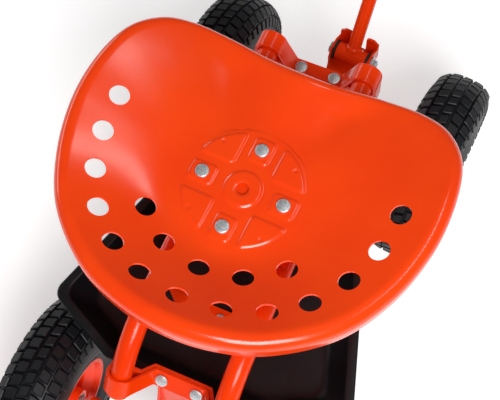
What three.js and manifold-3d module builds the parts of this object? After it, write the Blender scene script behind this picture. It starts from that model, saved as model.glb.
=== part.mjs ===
// Rolling garden work seat: a low four-wheeled cart with a pressed steel seat that swivels on a
// threaded post, a tool tray slung under two frame tubes, steered front wheels and a pull handle.
// Millimetres. +X is forward, +Y is the rider's left, +Z is up.
import * as THREE from "three";
import { mergeVertices } from "three/addons/utils/BufferGeometryUtils.js";
import Module from "manifold-3d";

const wasm = await Module();
wasm.setup();

// ---------------------------------------------------------------- driving dimensions
// Heights are measured from the ground, and x from the seat's swivel axis.
const GAP = 0.3; // clearance between pieces that touch
const WHEEL_RADIUS = 128;
const TYRE_WIDTH = 75;
const RIM_RADIUS = 59; // tip of the rim flange
const HUB_HALF = 30;
const FRONT_AXLE_X = 238;
const REAR_AXLE_X = -234;
const FRONT_WHEEL_Y = 155;
const REAR_WHEEL_Y = 164;
const AXLE_RADIUS = 8;
const THREAD_RADIUS = 6; // threaded end of an axle

const TUBE_Z = 341; // centre line of the straight part of the frame tubes
const TUBE_RADIUS = 12;
const TUBE_WALL = 1.6;
const TUBE_SPACING = 118;
const TUBE_FRONT_X = 221;
const BEND_START_X = -125;
const BEND_RADIUS = 100;
const BEND_ANGLE = THREE.MathUtils.degToRad(50);
const TAIL_LENGTH = 30; // straight tube behind the bend

const STRAP_LENGTH = 22; // along the tubes
const STRAP_THICK = 4;
const STRAP_BOLT_ROOM = 0.7; // between a bolt's head and the foot of the strap's flank
const STRAP_SINK = 26; // top of the strap's flat middle below the tubes' centre line
const STRAP_LEG = 38; // how far its outer legs reach down
const FLANK_LEAN = 0.5; // how far the inner flanks lean in for each mm that they go down
const FRONT_STRAP_X = 209;
const PLATE_THICK = 4;
const COLUMN_HALF = 26;
const COLUMN_WALL = 3;

const SEAT_Z = 421; // top of the flat middle of the seat
const SEAT_SHEET = 2;
const SEAT_TURN = THREE.MathUtils.degToRad(-2.5); // the seat stands a little turned to the right
const SEAT_BOLT_CIRCLE = 46;
const SEAT_PLATE_HALF = 56;
const SEAT_PLATE_THICK = 4;
const POST_RADIUS = 11.5;
const SPIGOT_RADIUS = 9;

const TRAY_RIM_Z = 261;
const TRAY_DEPTH = 45;
const TRAY_WALL = 3;
const TRAY_FLANGE = 9;
const TRAY_DRAFT = 22; // how far the walls lean in between rim and floor

const KINGPIN_Y = 90;
const KINGPIN_RADIUS = 6;
const BEAM_TOP_Z = 168;
const BEAM_DEPTH = 28;
const BEAM_HALF_WIDTH = 15;
const SLEEVE_HEIGHT = 50;
const STEER_ARM = 26; // from each steering pivot forward to the tie rod
const STEER_REST = THREE.MathUtils.degToRad(-5); // the front wheels stand a little to the right
const CLEVIS_REACH = 83; // from the tongue's pivot forward to the handle's hinge
const CLEVIS_Z = 184;
const CLEVIS_HALF = 25; // half the inner width between the ears
const CLEVIS_SLEEVE_RADIUS = 12;
const CLEVIS_WASHER = 3.2;
const CLEVIS_BOLT_RADIUS = 5;

const HANDLE_TUBE_RADIUS = 9;
const HANDLE_TUBE_BORE = 7.4;
const HANDLE_TUBE_LENGTH = 300;
const HANDLE_LENGTH = 460; // from the hinge to the cross bar, pushed in
const HANDLE_OVERLAP = 170; // stretch of the upper tube that stays inside the lower one
const HANDLE_ANGLE = THREE.MathUtils.degToRad(60); // above the horizontal
const CROSS_BAR_HALF = 72;
const GRIP_LENGTH = 56;

// ---------------------------------------------------------------- worked-out places
const AXLE_Z = WHEEL_RADIUS;
const TUBE_Y = TUBE_SPACING / 2;
const STRAP_INNER = TUBE_RADIUS + 0.8;
const STRAP_OUTER = STRAP_INNER + STRAP_THICK;
const KNUCKLE_PLATE_Y = KINGPIN_Y + 16;
const KNUCKLE_THICK = 5;
const TOP_EAR_Z = BEAM_TOP_Z + 0.5;
const TIE_ROD_Z = TOP_EAR_Z + KNUCKLE_THICK + 0.5;
const TIE_ROD_X = FRONT_AXLE_X + STEER_ARM;
const CLEVIS_X = FRONT_AXLE_X + CLEVIS_REACH;
const M8 = { shank: 4, hole: 4.4, head: 7.5, headHeight: 3.6 };
const M6 = { shank: 3, hole: 3.4, head: 6, headHeight: 3 };
const FLANK_FOOT_Y = TUBE_Y - STRAP_OUTER - FLANK_LEAN * STRAP_SINK;
const STRAP_BOLT_Y = FLANK_FOOT_Y - STRAP_BOLT_ROOM - M8.head;

// Point and direction where the tail of the bent tubes carries the rear strap.
const tailDirection = new THREE.Vector3(-Math.cos(BEND_ANGLE), 0, -Math.sin(BEND_ANGLE));
const bendEnd = new THREE.Vector3(
  BEND_START_X - BEND_RADIUS * Math.sin(BEND_ANGLE),
  0,
  TUBE_Z - BEND_RADIUS * (1 - Math.cos(BEND_ANGLE)),
);
const rearStrapCentre = bendEnd.clone().addScaledVector(tailDirection, STRAP_LENGTH / 2 + 1);

// ---------------------------------------------------------------- solids and booleans

// A closed geometry as a manifold solid with its faces pointing out.
function solidOf(geometry) {
  const plain = geometry.clone();
  plain.deleteAttribute("normal");
  plain.deleteAttribute("uv");
  const merged = mergeVertices(plain, 1e-3);
  const index = merged.index.array;
  const build = (triVerts) =>
    new wasm.Manifold(
      new wasm.Mesh({ numProp: 3, vertProperties: merged.attributes.position.array, triVerts }),
    );
  const triVerts = new Uint32Array(index);
  const solid = build(triVerts);
  if (solid.volume() > 0) return solid;
  for (let i = 0; i < triVerts.length; i += 3) {
    [triVerts[i + 1], triVerts[i + 2]] = [triVerts[i + 2], triVerts[i + 1]];
  }
  return build(triVerts);
}

function geometryOf(solid) {
  const mesh = solid.getMesh();
  const geometry = new THREE.BufferGeometry();
  geometry.setAttribute("position", new THREE.BufferAttribute(mesh.vertProperties, 3));
  geometry.setIndex(new THREE.BufferAttribute(mesh.triVerts, 1));
  const facets = geometry.toNonIndexed();
  facets.computeVertexNormals();
  return facets;
}

// The first geometries joined, with the second list cut away.
function weld(parts, cuts = []) {
  let solid = solidOf(parts[0]);
  for (const part of parts.slice(1)) solid = solid.add(solidOf(part));
  for (const tool of cuts) solid = solid.subtract(solidOf(tool));
  return geometryOf(solid);
}

// ---------------------------------------------------------------- basic shapes

function block(x0, x1, y0, y1, z0, z1) {
  const box = new THREE.BoxGeometry(x1 - x0, y1 - y0, z1 - z0);
  return box.translate((x0 + x1) / 2, (y0 + y1) / 2, (z0 + z1) / 2);
}

// A round bar along one axis, from one coordinate to another, through (a, b) on the other axes.
function bar(axis, radius, from, to, a, b, segments = 16) {
  const rod = new THREE.CylinderGeometry(radius, radius, to - from, segments);
  const middle = (from + to) / 2;
  if (axis === "x") return rod.rotateZ(Math.PI / 2).translate(middle, a, b);
  if (axis === "y") return rod.translate(a, middle, b);
  return rod.rotateX(Math.PI / 2).translate(a, b, middle);
}

// A profile of [radius, height] pairs turned round the vertical axis through (x, y).
function turnedUp(profile, x, y, z, segments) {
  const points = profile.map(([r, h]) => new THREE.Vector2(r, h));
  return new THREE.LatheGeometry(points, segments).rotateX(Math.PI / 2).translate(x, y, z);
}

// A profile of [radius, y] pairs turned round the wheel axis.
function turnedWheel(profile, segments) {
  const points = profile.map(([r, y]) => new THREE.Vector2(r, y));
  return new THREE.LatheGeometry(points, segments);
}

// An outline in the XZ plane given depth across Y, centred on y = 0.
function sidePlate(points, halfWidth, middle = 0) {
  const shape = new THREE.Shape(points.map(([x, z]) => new THREE.Vector2(x, z)));
  const body = new THREE.ExtrudeGeometry(shape, { depth: 2 * halfWidth, bevelEnabled: false });
  return body.rotateX(Math.PI / 2).translate(0, middle + halfWidth, 0);
}

// An outline in the YZ plane given length along X, centred on x = 0.
function crossPlate(shape, halfLength, curveSegments) {
  const settings = { depth: 2 * halfLength, bevelEnabled: false, curveSegments };
  const body = new THREE.ExtrudeGeometry(shape, settings);
  return body.rotateX(Math.PI / 2).rotateZ(Math.PI / 2).translate(-halfLength, 0, 0);
}

// A route whose sections stand exactly at the given points, so straight runs need no steps.
class Route extends THREE.Curve {
  constructor(points) {
    super();
    this.points = points;
  }
  getPoint(t, target = new THREE.Vector3()) {
    const place = t * (this.points.length - 1);
    const first = Math.min(Math.floor(place + 1e-9), this.points.length - 2);
    return target.lerpVectors(this.points[first], this.points[first + 1], place - first);
  }
  getPointAt(u, target) {
    return this.getPoint(u, target);
  }
  getTangentAt(u, target = new THREE.Vector3()) {
    const index = Math.round(u * (this.points.length - 1));
    const before = this.points[Math.max(index - 1, 0)];
    const after = this.points[Math.min(index + 1, this.points.length - 1)];
    const away = after.clone().sub(this.points[index]).normalize();
    const arriving = this.points[index].clone().sub(before).normalize();
    return target.addVectors(away, arriving).normalize();
  }
}

// A round tube with open ends along a route.
function tubeAlong(points, radius, wall, halfSegments) {
  const section = new THREE.Shape().absarc(0, 0, radius, 0, 2 * Math.PI);
  section.holes.push(new THREE.Path().absarc(0, 0, radius - wall, 0, 2 * Math.PI));
  return new THREE.ExtrudeGeometry(section, {
    steps: points.length - 1,
    extrudePath: new Route(points),
    curveSegments: halfSegments,
    bevelEnabled: false,
  });
}

// Rings of equal point counts stacked into a closed solid, capped by fans at both ends.
function stackedRings(rings) {
  const count = rings[0].length;
  const positions = rings.flat().flatMap((p) => [p.x, p.y, p.z]);
  const index = [];
  for (let level = 0; level < rings.length - 1; level++) {
    for (let i = 0; i < count; i++) {
      const a = level * count + i;
      const b = level * count + ((i + 1) % count);
      index.push(a, b, b + count, a, b + count, a + count);
    }
  }
  const last = (rings.length - 1) * count;
  for (let i = 1; i < count - 1; i++) {
    index.push(0, i + 1, i);
    index.push(last, last + i, last + i + 1);
  }
  const geometry = new THREE.BufferGeometry();
  geometry.setAttribute("position", new THREE.Float32BufferAttribute(positions, 3));
  geometry.setIndex(index);
  return geometry;
}

// A dome-headed bolt standing upright: z is the underside of its head.
function bolt(size, length, x, y, z) {
  const { shank, head, headHeight } = size;
  const profile = [
    [0, -length],
    [shank, -length],
    [shank, 0],
    [head, 0],
    [head, headHeight * 0.45],
    [head * 0.7, headHeight * 0.9],
    [0, headHeight],
  ];
  return turnedUp(profile, x, y, z, 8);
}

// ---------------------------------------------------------------- finishes

function orangePaint() {
  return new THREE.MeshStandardMaterial({ color: "#f4461a", roughness: 0.28, metalness: 0.1 });
}
function zincPlate() {
  return new THREE.MeshStandardMaterial({ color: "#c9ced0", roughness: 0.35, metalness: 0.9 });
}
function blackPlastic() {
  return new THREE.MeshStandardMaterial({ color: "#101114", roughness: 0.55, metalness: 0 });
}
function tyreRubber() {
  return new THREE.MeshStandardMaterial({ color: "#1c1d1f", roughness: 0.85, metalness: 0 });
}
function softRubber() {
  return new THREE.MeshStandardMaterial({ color: "#151515", roughness: 0.75, metalness: 0 });
}

const cart = new THREE.Group();

function place(parent, name, geometry, material) {
  const mesh = new THREE.Mesh(geometryOf(solidOf(geometry)), material);
  mesh.name = name;
  parent.add(mesh);
  return mesh;
}

// ---------------------------------------------------------------- seat pan
// Half of the rim seen from above, from the back to the front: [x, y, height of the crest].
const RIM_HALF = [
  [-174, 0, 54],
  [-168, 50, 52],
  [-148, 101, 46],
  [-105, 153, 39],
  [-50, 185, 35],
  [10, 201, 35],
  [65, 202, 33],
  [112, 192, 26],
  [143, 168, 16],
  [156, 135, 7],
  [157, 90, 2],
  [150, 42, 6],
  [146, 0, 12],
];
const PAN_RADIUS = 68; // flat middle
const PAN_HOLE_RADIUS = 6.5;
const PAD_RISE = 1.6; // height of the pressed boss and pads
const PAD_HALF_ALONG = 13.5; // bolt pad, along the line from the middle
const PAD_HALF_ACROSS = 11;
const FAN_START = 21.5; // corner pads begin this far from both middle lines
const FAN_RADIUS = 63;
const ROLL_RADIUS = 9; // rolled edge
const LIP_DROP = 6; // at the level of the flat middle
const LIP_GROWTH = 0.18; // and how much deeper for each mm that the rim rises
const SEAT_STEPS = 48;
const BOWL_ROWS = 4;
const BOWL_POWER = 1.15;
const DRAIN_HOLE_RADIUS = 11;

const rimCurve = new THREE.CatmullRomCurve3(
  [
    ...RIM_HALF,
    ...RIM_HALF.slice(1, -1)
      .reverse()
      .map(([x, y, h]) => [x, -y, h]),
  ].map(([x, y, h]) => new THREE.Vector3(x, y, h)),
  true,
  "catmullrom",
  0.5,
);

// A point of the bowl: u goes round the rim, w goes from the flat middle (0) to the crest (1).
function bowlPoint(u, w) {
  const rim = rimCurve.getPoint(u);
  const outward = new THREE.Vector2(rim.x, rim.y);
  const crestRadius = outward.length() - ROLL_RADIUS;
  outward.setLength(PAN_RADIUS + w * (crestRadius - PAN_RADIUS));
  return new THREE.Vector3(outward.x, outward.y, rim.z * w ** BOWL_POWER);
}

// The sheet's section at one place of the rim, from the middle hole out to the lip's edge.
function seatSection(u) {
  const rim = rimCurve.getPoint(u);
  const outward = new THREE.Vector2(rim.x, rim.y).normalize();
  const at = (r, z) => new THREE.Vector3(outward.x * r, outward.y * r, z);
  const section = [at(PAN_HOLE_RADIUS - 1, 0)];
  for (let row = 0; row <= BOWL_ROWS; row++) section.push(bowlPoint(u, row / BOWL_ROWS));
  const crestRadius = Math.hypot(rim.x, rim.y) - ROLL_RADIUS;
  for (const turn of [45, 90]) {
    const angle = THREE.MathUtils.degToRad(turn);
    const drop = ROLL_RADIUS * (1 - Math.cos(angle));
    section.push(at(crestRadius + ROLL_RADIUS * Math.sin(angle), rim.z - drop));
  }
  const lip = LIP_DROP + LIP_GROWTH * rim.z;
  section.push(at(crestRadius + ROLL_RADIUS, rim.z - ROLL_RADIUS - lip));
  return section;
}

function seatSheet() {
  const sections = [];
  for (let step = 0; step < SEAT_STEPS; step++) sections.push(seatSection(step / SEAT_STEPS));
  const rows = sections[0].length;
  const top = sections.flat();
  const face = new THREE.BufferGeometry();
  face.setAttribute("position", new THREE.Float32BufferAttribute(top.flatMap((p) => [...p]), 3));
  const index = [];
  for (let step = 0; step < SEAT_STEPS; step++) {
    const here = step * rows;
    const next = ((step + 1) % SEAT_STEPS) * rows;
    for (let row = 0; row < rows - 1; row++) {
      index.push(here + row, next + row + 1, here + row + 1);
      index.push(here + row, next + row, next + row + 1);
    }
  }
  face.setIndex(index);
  face.computeVertexNormals();
  const normal = face.getAttribute("normal");
  const under = top.map((p, i) =>
    p.clone().addScaledVector(new THREE.Vector3().fromBufferAttribute(normal, i), -SEAT_SHEET),
  );
  const offset = top.length;
  const lower = [];
  for (let i = 0; i < index.length; i += 3) {
    lower.push(index[i] + offset, index[i + 2] + offset, index[i + 1] + offset);
  }
  const edges = [];
  for (let step = 0; step < SEAT_STEPS; step++) {
    const here = step * rows;
    const next = ((step + 1) % SEAT_STEPS) * rows;
    const edge = rows - 1;
    edges.push(here + edge, next + edge + offset, here + edge + offset);
    edges.push(here + edge, next + edge, next + edge + offset);
    edges.push(here, here + offset, next + offset);
    edges.push(here, next + offset, next);
  }
  const sheet = new THREE.BufferGeometry();
  const all = [...top, ...under].flatMap((p) => [...p]);
  sheet.setAttribute("position", new THREE.Float32BufferAttribute(all, 3));
  sheet.setIndex([...index, ...lower, ...edges]);
  return sheet;
}

// Drain holes evenly spaced along one row of the bowl, counted out from the back on both sides.
function drainHoles(w, spacing, perSide) {
  const samples = 400;
  const tools = [];
  let travelled = 0;
  let previous = bowlPoint(0, w);
  let next = 0;
  for (let i = 0; i <= samples / 2 && next <= perSide; i++) {
    const u = i / samples;
    const here = bowlPoint(u, w);
    travelled += here.distanceTo(previous);
    previous = here;
    if (travelled < next * spacing) continue;
    for (const side of next === 0 ? [0] : [u, 1 - u]) tools.push(holeTool(side, w));
    next += 1;
  }
  return tools;
}

// A cutter square to the sheet at one point of the bowl.
function holeTool(u, w) {
  const small = 0.002;
  const centre = bowlPoint(u, w);
  const round = bowlPoint((u + small) % 1, w).sub(centre);
  const out = bowlPoint(u, w + small).sub(centre);
  const upright = out.cross(round).normalize();
  if (upright.z < 0) upright.negate();
  const tool = new THREE.CylinderGeometry(DRAIN_HOLE_RADIUS, DRAIN_HOLE_RADIUS, 20, 10);
  const turn = new THREE.Quaternion().setFromUnitVectors(new THREE.Vector3(0, 1, 0), upright);
  return tool.applyQuaternion(turn).translate(centre.x, centre.y, centre.z);
}

const seatBoltSpots = {
  front: [SEAT_BOLT_CIRCLE, 0],
  left: [0, SEAT_BOLT_CIRCLE],
  rear: [-SEAT_BOLT_CIRCLE, 0],
  right: [0, -SEAT_BOLT_CIRCLE],
};

// ---------------------------------------------------------------- seat, plate and post
const PLATE_TOP = -SEAT_SHEET - GAP;
const PLATE_BOTTOM = PLATE_TOP - SEAT_PLATE_THICK;
const WELD_NUT_HEIGHT = 7;
const SOCKET_RADIUS = 17;
const SOCKET_LENGTH = 20;
const COLLAR_HEIGHT = 4;

// One of the four corner pads pressed up from the flat middle, in the front left quarter.
function fanPad() {
  const sweep = Math.asin(FAN_START / FAN_RADIUS);
  const shape = new THREE.Shape();
  shape.moveTo(FAN_START, FAN_START);
  shape.absarc(0, 0, FAN_RADIUS, sweep, Math.PI / 2 - sweep, false);
  const settings = { depth: PAD_RISE + 1, bevelEnabled: false, curveSegments: 5 };
  return new THREE.ExtrudeGeometry(shape, settings).translate(0, 0, -1);
}

function seatPan() {
  const parts = [seatSheet(), bar("z", 20, -1, PAD_RISE, 0, 0, 20)];
  const cuts = [...drainHoles(0.73, 43.3, 6), ...drainHoles(0.3, 44.5, 2)];
  cuts.push(bar("z", PAN_HOLE_RADIUS, -3, PAD_RISE + 1, 0, 0, 20));
  Object.values(seatBoltSpots).forEach(([x, y], quarter) => {
    const along = x === 0 ? PAD_HALF_ACROSS : PAD_HALF_ALONG;
    const across = x === 0 ? PAD_HALF_ALONG : PAD_HALF_ACROSS;
    parts.push(block(x - along, x + along, y - across, y + across, -1, PAD_RISE));
    parts.push(fanPad().rotateZ((quarter * Math.PI) / 2));
    cuts.push(bar("z", M8.hole, -8, 8, x, y, 12));
  });
  return weld(parts, cuts);
}

function seatPlate() {
  const half = SEAT_PLATE_HALF;
  const parts = [block(-half, half, -half, half, PLATE_BOTTOM, PLATE_TOP)];
  parts.push(bar("z", SOCKET_RADIUS, PLATE_BOTTOM - SOCKET_LENGTH, PLATE_BOTTOM + 1, 0, 0, 20));
  const cuts = [
    bar("z", SPIGOT_RADIUS + GAP, PLATE_BOTTOM - SOCKET_LENGTH - 1, PLATE_BOTTOM + 1, 0, 0, 20),
  ];
  for (const [x, y] of Object.values(seatBoltSpots)) {
    parts.push(bar("z", 7.5, PLATE_BOTTOM - WELD_NUT_HEIGHT, PLATE_BOTTOM + 1, x, y, 6));
    cuts.push(bar("z", M8.shank + GAP, PLATE_BOTTOM - 9, PLATE_TOP + 1, x, y, 12));
  }
  return weld(parts, cuts);
}

// The post: threaded rod, a collar that carries the socket, and the spigot inside it.
function seatScrew() {
  const collarTop = PLATE_BOTTOM - SOCKET_LENGTH - GAP;
  const bottom = TUBE_Z - 48 - SEAT_Z;
  const profile = [
    [0, bottom],
    [POST_RADIUS - 2, bottom],
    [POST_RADIUS, bottom + 2],
    [POST_RADIUS, collarTop - COLLAR_HEIGHT],
    [SOCKET_RADIUS, collarTop - COLLAR_HEIGHT],
    [SOCKET_RADIUS, collarTop],
    [SPIGOT_RADIUS, collarTop],
    [SPIGOT_RADIUS, PLATE_BOTTOM - GAP],
    [0, PLATE_BOTTOM - GAP],
  ];
  return turnedUp(profile, 0, 0, 0, 20);
}

const seat = new THREE.Group();
seat.position.z = SEAT_Z;
seat.rotation.z = SEAT_TURN;
cart.add(seat);
place(seat, "seat_pan", seatPan(), orangePaint());
place(seat, "seat_plate", seatPlate(), orangePaint());
for (const [spot, [x, y]] of Object.entries(seatBoltSpots)) {
  place(seat, `seat_bolt_${spot}`, bolt(M8, 14, x, y, PAD_RISE + GAP), zincPlate());
}
place(seat, "seat_screw", seatScrew(), zincPlate());

// ---------------------------------------------------------------- frame tubes and seat bridge
const BRIDGE_HALF_LENGTH = 42;
const BOSS_RADIUS = 19;
const BOSS_HEIGHT = 20;
const LOCK_NUT_HEIGHT = 9;
const BRIDGE_BOTTOM = TUBE_Z + TUBE_RADIUS + GAP;

function frameTube(side) {
  const y = side * TUBE_Y;
  const points = [new THREE.Vector3(TUBE_FRONT_X, y, TUBE_Z)];
  const arcSteps = 6;
  for (let step = 0; step <= arcSteps; step++) {
    const angle = (BEND_ANGLE * step) / arcSteps;
    const x = BEND_START_X - BEND_RADIUS * Math.sin(angle);
    points.push(new THREE.Vector3(x, y, TUBE_Z - BEND_RADIUS * (1 - Math.cos(angle))));
  }
  points.push(points[points.length - 1].clone().addScaledVector(tailDirection, TAIL_LENGTH));
  return tubeAlong(points, TUBE_RADIUS, TUBE_WALL, 8);
}

function seatBridge() {
  const span = TUBE_Y + 8;
  const top = BRIDGE_BOTTOM + 5;
  const plate = block(-BRIDGE_HALF_LENGTH, BRIDGE_HALF_LENGTH, -span, span, BRIDGE_BOTTOM, top);
  const boss = bar("z", BOSS_RADIUS, top - 1, top + BOSS_HEIGHT, 0, 0, 20);
  const bore = bar("z", POST_RADIUS + GAP, BRIDGE_BOTTOM - 1, top + BOSS_HEIGHT + 1, 0, 0, 20);
  return weld([plate, boss], [bore]);
}

function lockNut() {
  const bottom = BRIDGE_BOTTOM + 5 + BOSS_HEIGHT + GAP;
  const nut = bar("z", BOSS_RADIUS - 1, bottom, bottom + LOCK_NUT_HEIGHT, 0, 0, 6);
  const bore = bar("z", POST_RADIUS + GAP, bottom - 1, bottom + LOCK_NUT_HEIGHT + 1, 0, 0, 20);
  return weld([nut], [bore]);
}

place(cart, "left_frame_tube", frameTube(1), orangePaint());
place(cart, "right_frame_tube", frameTube(-1), orangePaint());
place(cart, "seat_bridge", seatBridge(), orangePaint());
place(cart, "lock_nut", lockNut(), zincPlate());

// ---------------------------------------------------------------- straps over the tubes
// A pressed strap in its own frame: x along the tubes, z = 0 on the tubes' centre line. It arches
// over both tubes, sinks between them to a flat that takes the bolts, and ends in upright legs.
const STRAP_FLAT_TOP = -STRAP_SINK;
const STRAP_FLAT_BOTTOM = STRAP_FLAT_TOP - STRAP_THICK;

// The right half of an outline in the YZ plane, completed with its mirror image.
function mirroredShape(half) {
  const left = half
    .slice()
    .reverse()
    .map(([y, z]) => [-y, z]);
  return new THREE.Shape([...half, ...left].map(([y, z]) => new THREE.Vector2(y, z)));
}

// Points of a half circle over one tube, from its inner to its outer side or back.
function archOver(radius, steps, outward) {
  const points = [];
  for (let step = 0; step <= steps; step++) {
    const share = outward ? step / steps : 1 - step / steps;
    const angle = Math.PI * (1 - share);
    points.push([TUBE_Y + radius * Math.cos(angle), radius * Math.sin(angle)]);
  }
  return points;
}

function strap() {
  const innerTop = TUBE_Y - STRAP_OUTER + FLANK_LEAN * STRAP_FLAT_TOP;
  const innerBottom = TUBE_Y - STRAP_INNER + FLANK_LEAN * STRAP_FLAT_BOTTOM;
  const shape = mirroredShape([
    [innerTop, STRAP_FLAT_TOP],
    ...archOver(STRAP_OUTER, 10, true),
    [TUBE_Y + STRAP_OUTER, -STRAP_LEG],
    [TUBE_Y + STRAP_INNER, -STRAP_LEG],
    ...archOver(STRAP_INNER, 10, false),
    [innerBottom, STRAP_FLAT_BOTTOM],
  ]);
  const cuts = [-STRAP_BOLT_Y, STRAP_BOLT_Y].map((y) =>
    bar("z", M8.hole, STRAP_FLAT_BOTTOM - 5, STRAP_FLAT_TOP + 5, 0, y, 12),
  );
  return weld([crossPlate(shape, STRAP_LENGTH / 2, 1)], cuts);
}

// The cradle that a strap is bolted to. Its middle lies under the strap's flat and its raised ends
// carry the tubes.
const CRADLE_TOP = STRAP_FLAT_BOTTOM - GAP;
const CRADLE_BOTTOM = CRADLE_TOP - PLATE_THICK;

function cradle() {
  const restTop = -TUBE_RADIUS - GAP;
  const restBottom = restTop - PLATE_THICK;
  const end = TUBE_Y + STRAP_INNER - 0.4;
  const flank = TUBE_Y - STRAP_INNER + 1;
  const thick = PLATE_THICK + 0.3;
  const shape = mirroredShape([
    [flank + FLANK_LEAN * CRADLE_TOP, CRADLE_TOP],
    [flank + FLANK_LEAN * restTop, restTop],
    [end, restTop],
    [end, restBottom],
    [flank + thick + FLANK_LEAN * restBottom, restBottom],
    [flank + thick + FLANK_LEAN * CRADLE_BOTTOM, CRADLE_BOTTOM],
  ]);
  const cuts = [-STRAP_BOLT_Y, STRAP_BOLT_Y].map((y) =>
    bar("z", M8.hole, CRADLE_BOTTOM - 5, CRADLE_TOP + 5, 0, y, 12),
  );
  return weld([crossPlate(shape, STRAP_LENGTH / 2, 1)], cuts);
}

function placeStrap(end, x, z, tilt) {
  const group = new THREE.Group();
  group.position.set(x, 0, z);
  group.rotation.y = -tilt;
  cart.add(group);
  place(group, `${end}_strap`, strap(), orangePaint());
  for (const [side, y] of [["left", STRAP_BOLT_Y], ["right", -STRAP_BOLT_Y]]) {
    const geometry = bolt(M8, 14, 0, y, STRAP_FLAT_TOP + GAP);
    place(group, `${end}_strap_bolt_${side}`, geometry, zincPlate());
  }
}

placeStrap("front", FRONT_STRAP_X, TUBE_Z, 0);
placeStrap("rear", rearStrapCentre.x, rearStrapCentre.z, BEND_ANGLE);

// ---------------------------------------------------------------- front column with axle beam
const SLEEVE_RADIUS = 13;
const BEAM_BOTTOM_Z = BEAM_TOP_Z - BEAM_DEPTH;
const SLEEVE_BOTTOM_Z = BEAM_TOP_Z - SLEEVE_HEIGHT;

// A folded channel from an outline in the XZ plane, open towards the back. The outline runs down
// the front edge and up the back edge.
function channel(outline) {
  const [frontTop, frontFoot, backFoot, backTop] = outline;
  const hollow = [
    [frontTop[0] - COLUMN_WALL, frontTop[1] + 1],
    [frontFoot[0] - COLUMN_WALL, frontFoot[1] - 1],
    [backFoot[0] - 60, backFoot[1] - 1],
    [backTop[0] - 60, backTop[1] + 1],
  ];
  const inside = sidePlate(hollow, COLUMN_HALF - COLUMN_WALL);
  return weld([sidePlate(outline, COLUMN_HALF)], [inside]);
}

function frontColumn() {
  const top = TUBE_Z + CRADLE_BOTTOM;
  const beamBack = FRONT_AXLE_X - BEAM_HALF_WIDTH;
  const outline = [
    [FRONT_STRAP_X + STRAP_LENGTH / 2, top + 1],
    [beamBack + 0.5, BEAM_BOTTOM_Z],
    [beamBack - 24, BEAM_BOTTOM_Z],
    [FRONT_STRAP_X - STRAP_LENGTH / 2, top + 1],
  ];
  const beamHalf = KINGPIN_Y - 8;
  const beam = block(
    FRONT_AXLE_X - BEAM_HALF_WIDTH,
    FRONT_AXLE_X + BEAM_HALF_WIDTH,
    -beamHalf,
    beamHalf,
    BEAM_BOTTOM_Z,
    BEAM_TOP_Z,
  );
  const wall = 3;
  const beamHollow = block(
    FRONT_AXLE_X - BEAM_HALF_WIDTH + wall,
    FRONT_AXLE_X + BEAM_HALF_WIDTH - wall,
    -beamHalf + SLEEVE_RADIUS,
    beamHalf - SLEEVE_RADIUS,
    BEAM_BOTTOM_Z - 1,
    BEAM_TOP_Z - wall,
  );
  const sleeves = [-1, 1].map((side) =>
    bar("z", SLEEVE_RADIUS, SLEEVE_BOTTOM_Z, BEAM_TOP_Z, FRONT_AXLE_X, side * KINGPIN_Y, 20),
  );
  const bores = [-1, 0, 1].map((side) =>
    bar(
      "z",
      KINGPIN_RADIUS + GAP,
      SLEEVE_BOTTOM_Z - 1,
      BEAM_TOP_Z + 1,
      FRONT_AXLE_X,
      side * KINGPIN_Y,
      16,
    ),
  );
  const plate = cradle().translate(FRONT_STRAP_X, 0, TUBE_Z);
  const boltWays = [-STRAP_BOLT_Y, STRAP_BOLT_Y].map((y) =>
    bar("z", M8.hole, top - 9, top + 9, FRONT_STRAP_X, y, 12),
  );
  return weld([channel(outline), plate, beam, ...sleeves], [beamHollow, ...bores, ...boltWays]);
}

place(cart, "front_column", frontColumn(), orangePaint());

// ---------------------------------------------------------------- rear bracket and axle
const AXLE_TUBE_RADIUS = 14;
const AXLE_TUBE_HALF = REAR_WHEEL_Y - HUB_HALF - 14;

function rearBracket() {
  const under = new THREE.Vector3(Math.sin(BEND_ANGLE), 0, -Math.cos(BEND_ANGLE));
  const middle = rearStrapCentre.clone();
  middle.addScaledVector(under, -(CRADLE_TOP + CRADLE_BOTTOM) / 2);
  const front = middle.clone().addScaledVector(tailDirection, 3);
  const back = middle.clone().addScaledVector(tailDirection, STRAP_LENGTH / 2);
  const outline = [
    [front.x, front.z],
    [REAR_AXLE_X + 12, AXLE_Z],
    [REAR_AXLE_X - 12, AXLE_Z],
    [back.x, back.z],
  ];
  const plate = cradle().rotateY(-BEND_ANGLE);
  plate.translate(rearStrapCentre.x, 0, rearStrapCentre.z);
  const half = AXLE_TUBE_HALF;
  const crossTube = bar("y", AXLE_TUBE_RADIUS, -half, half, REAR_AXLE_X, AXLE_Z, 20);
  const bore = bar("y", AXLE_RADIUS + GAP, -half - 1, half + 1, REAR_AXLE_X, AXLE_Z, 20);
  const boltWays = [-STRAP_BOLT_Y, STRAP_BOLT_Y].map((y) => {
    const way = bar("z", M8.hole, CRADLE_BOTTOM - 12, CRADLE_TOP + 6, 0, y, 12);
    return way.rotateY(-BEND_ANGLE).translate(rearStrapCentre.x, 0, rearStrapCentre.z);
  });
  return weld([channel(outline), plate, crossTube], [bore, ...boltWays]);
}

// Both ends of the rear axle are turned down and threaded for the axle nuts.
function rearAxle() {
  const hubEnd = REAR_WHEEL_Y + HUB_HALF;
  const profile = [
    [0, -hubEnd - 12],
    [THREAD_RADIUS, -hubEnd - 12],
    [THREAD_RADIUS, -hubEnd - 1],
    [AXLE_RADIUS, -hubEnd - 1],
    [AXLE_RADIUS, hubEnd + 1],
    [THREAD_RADIUS, hubEnd + 1],
    [THREAD_RADIUS, hubEnd + 12],
    [0, hubEnd + 12],
  ];
  return turnedWheel(profile, 16).translate(REAR_AXLE_X, 0, AXLE_Z);
}

place(cart, "rear_bracket", rearBracket(), orangePaint());
place(cart, "rear_axle", rearAxle(), zincPlate());

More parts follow.
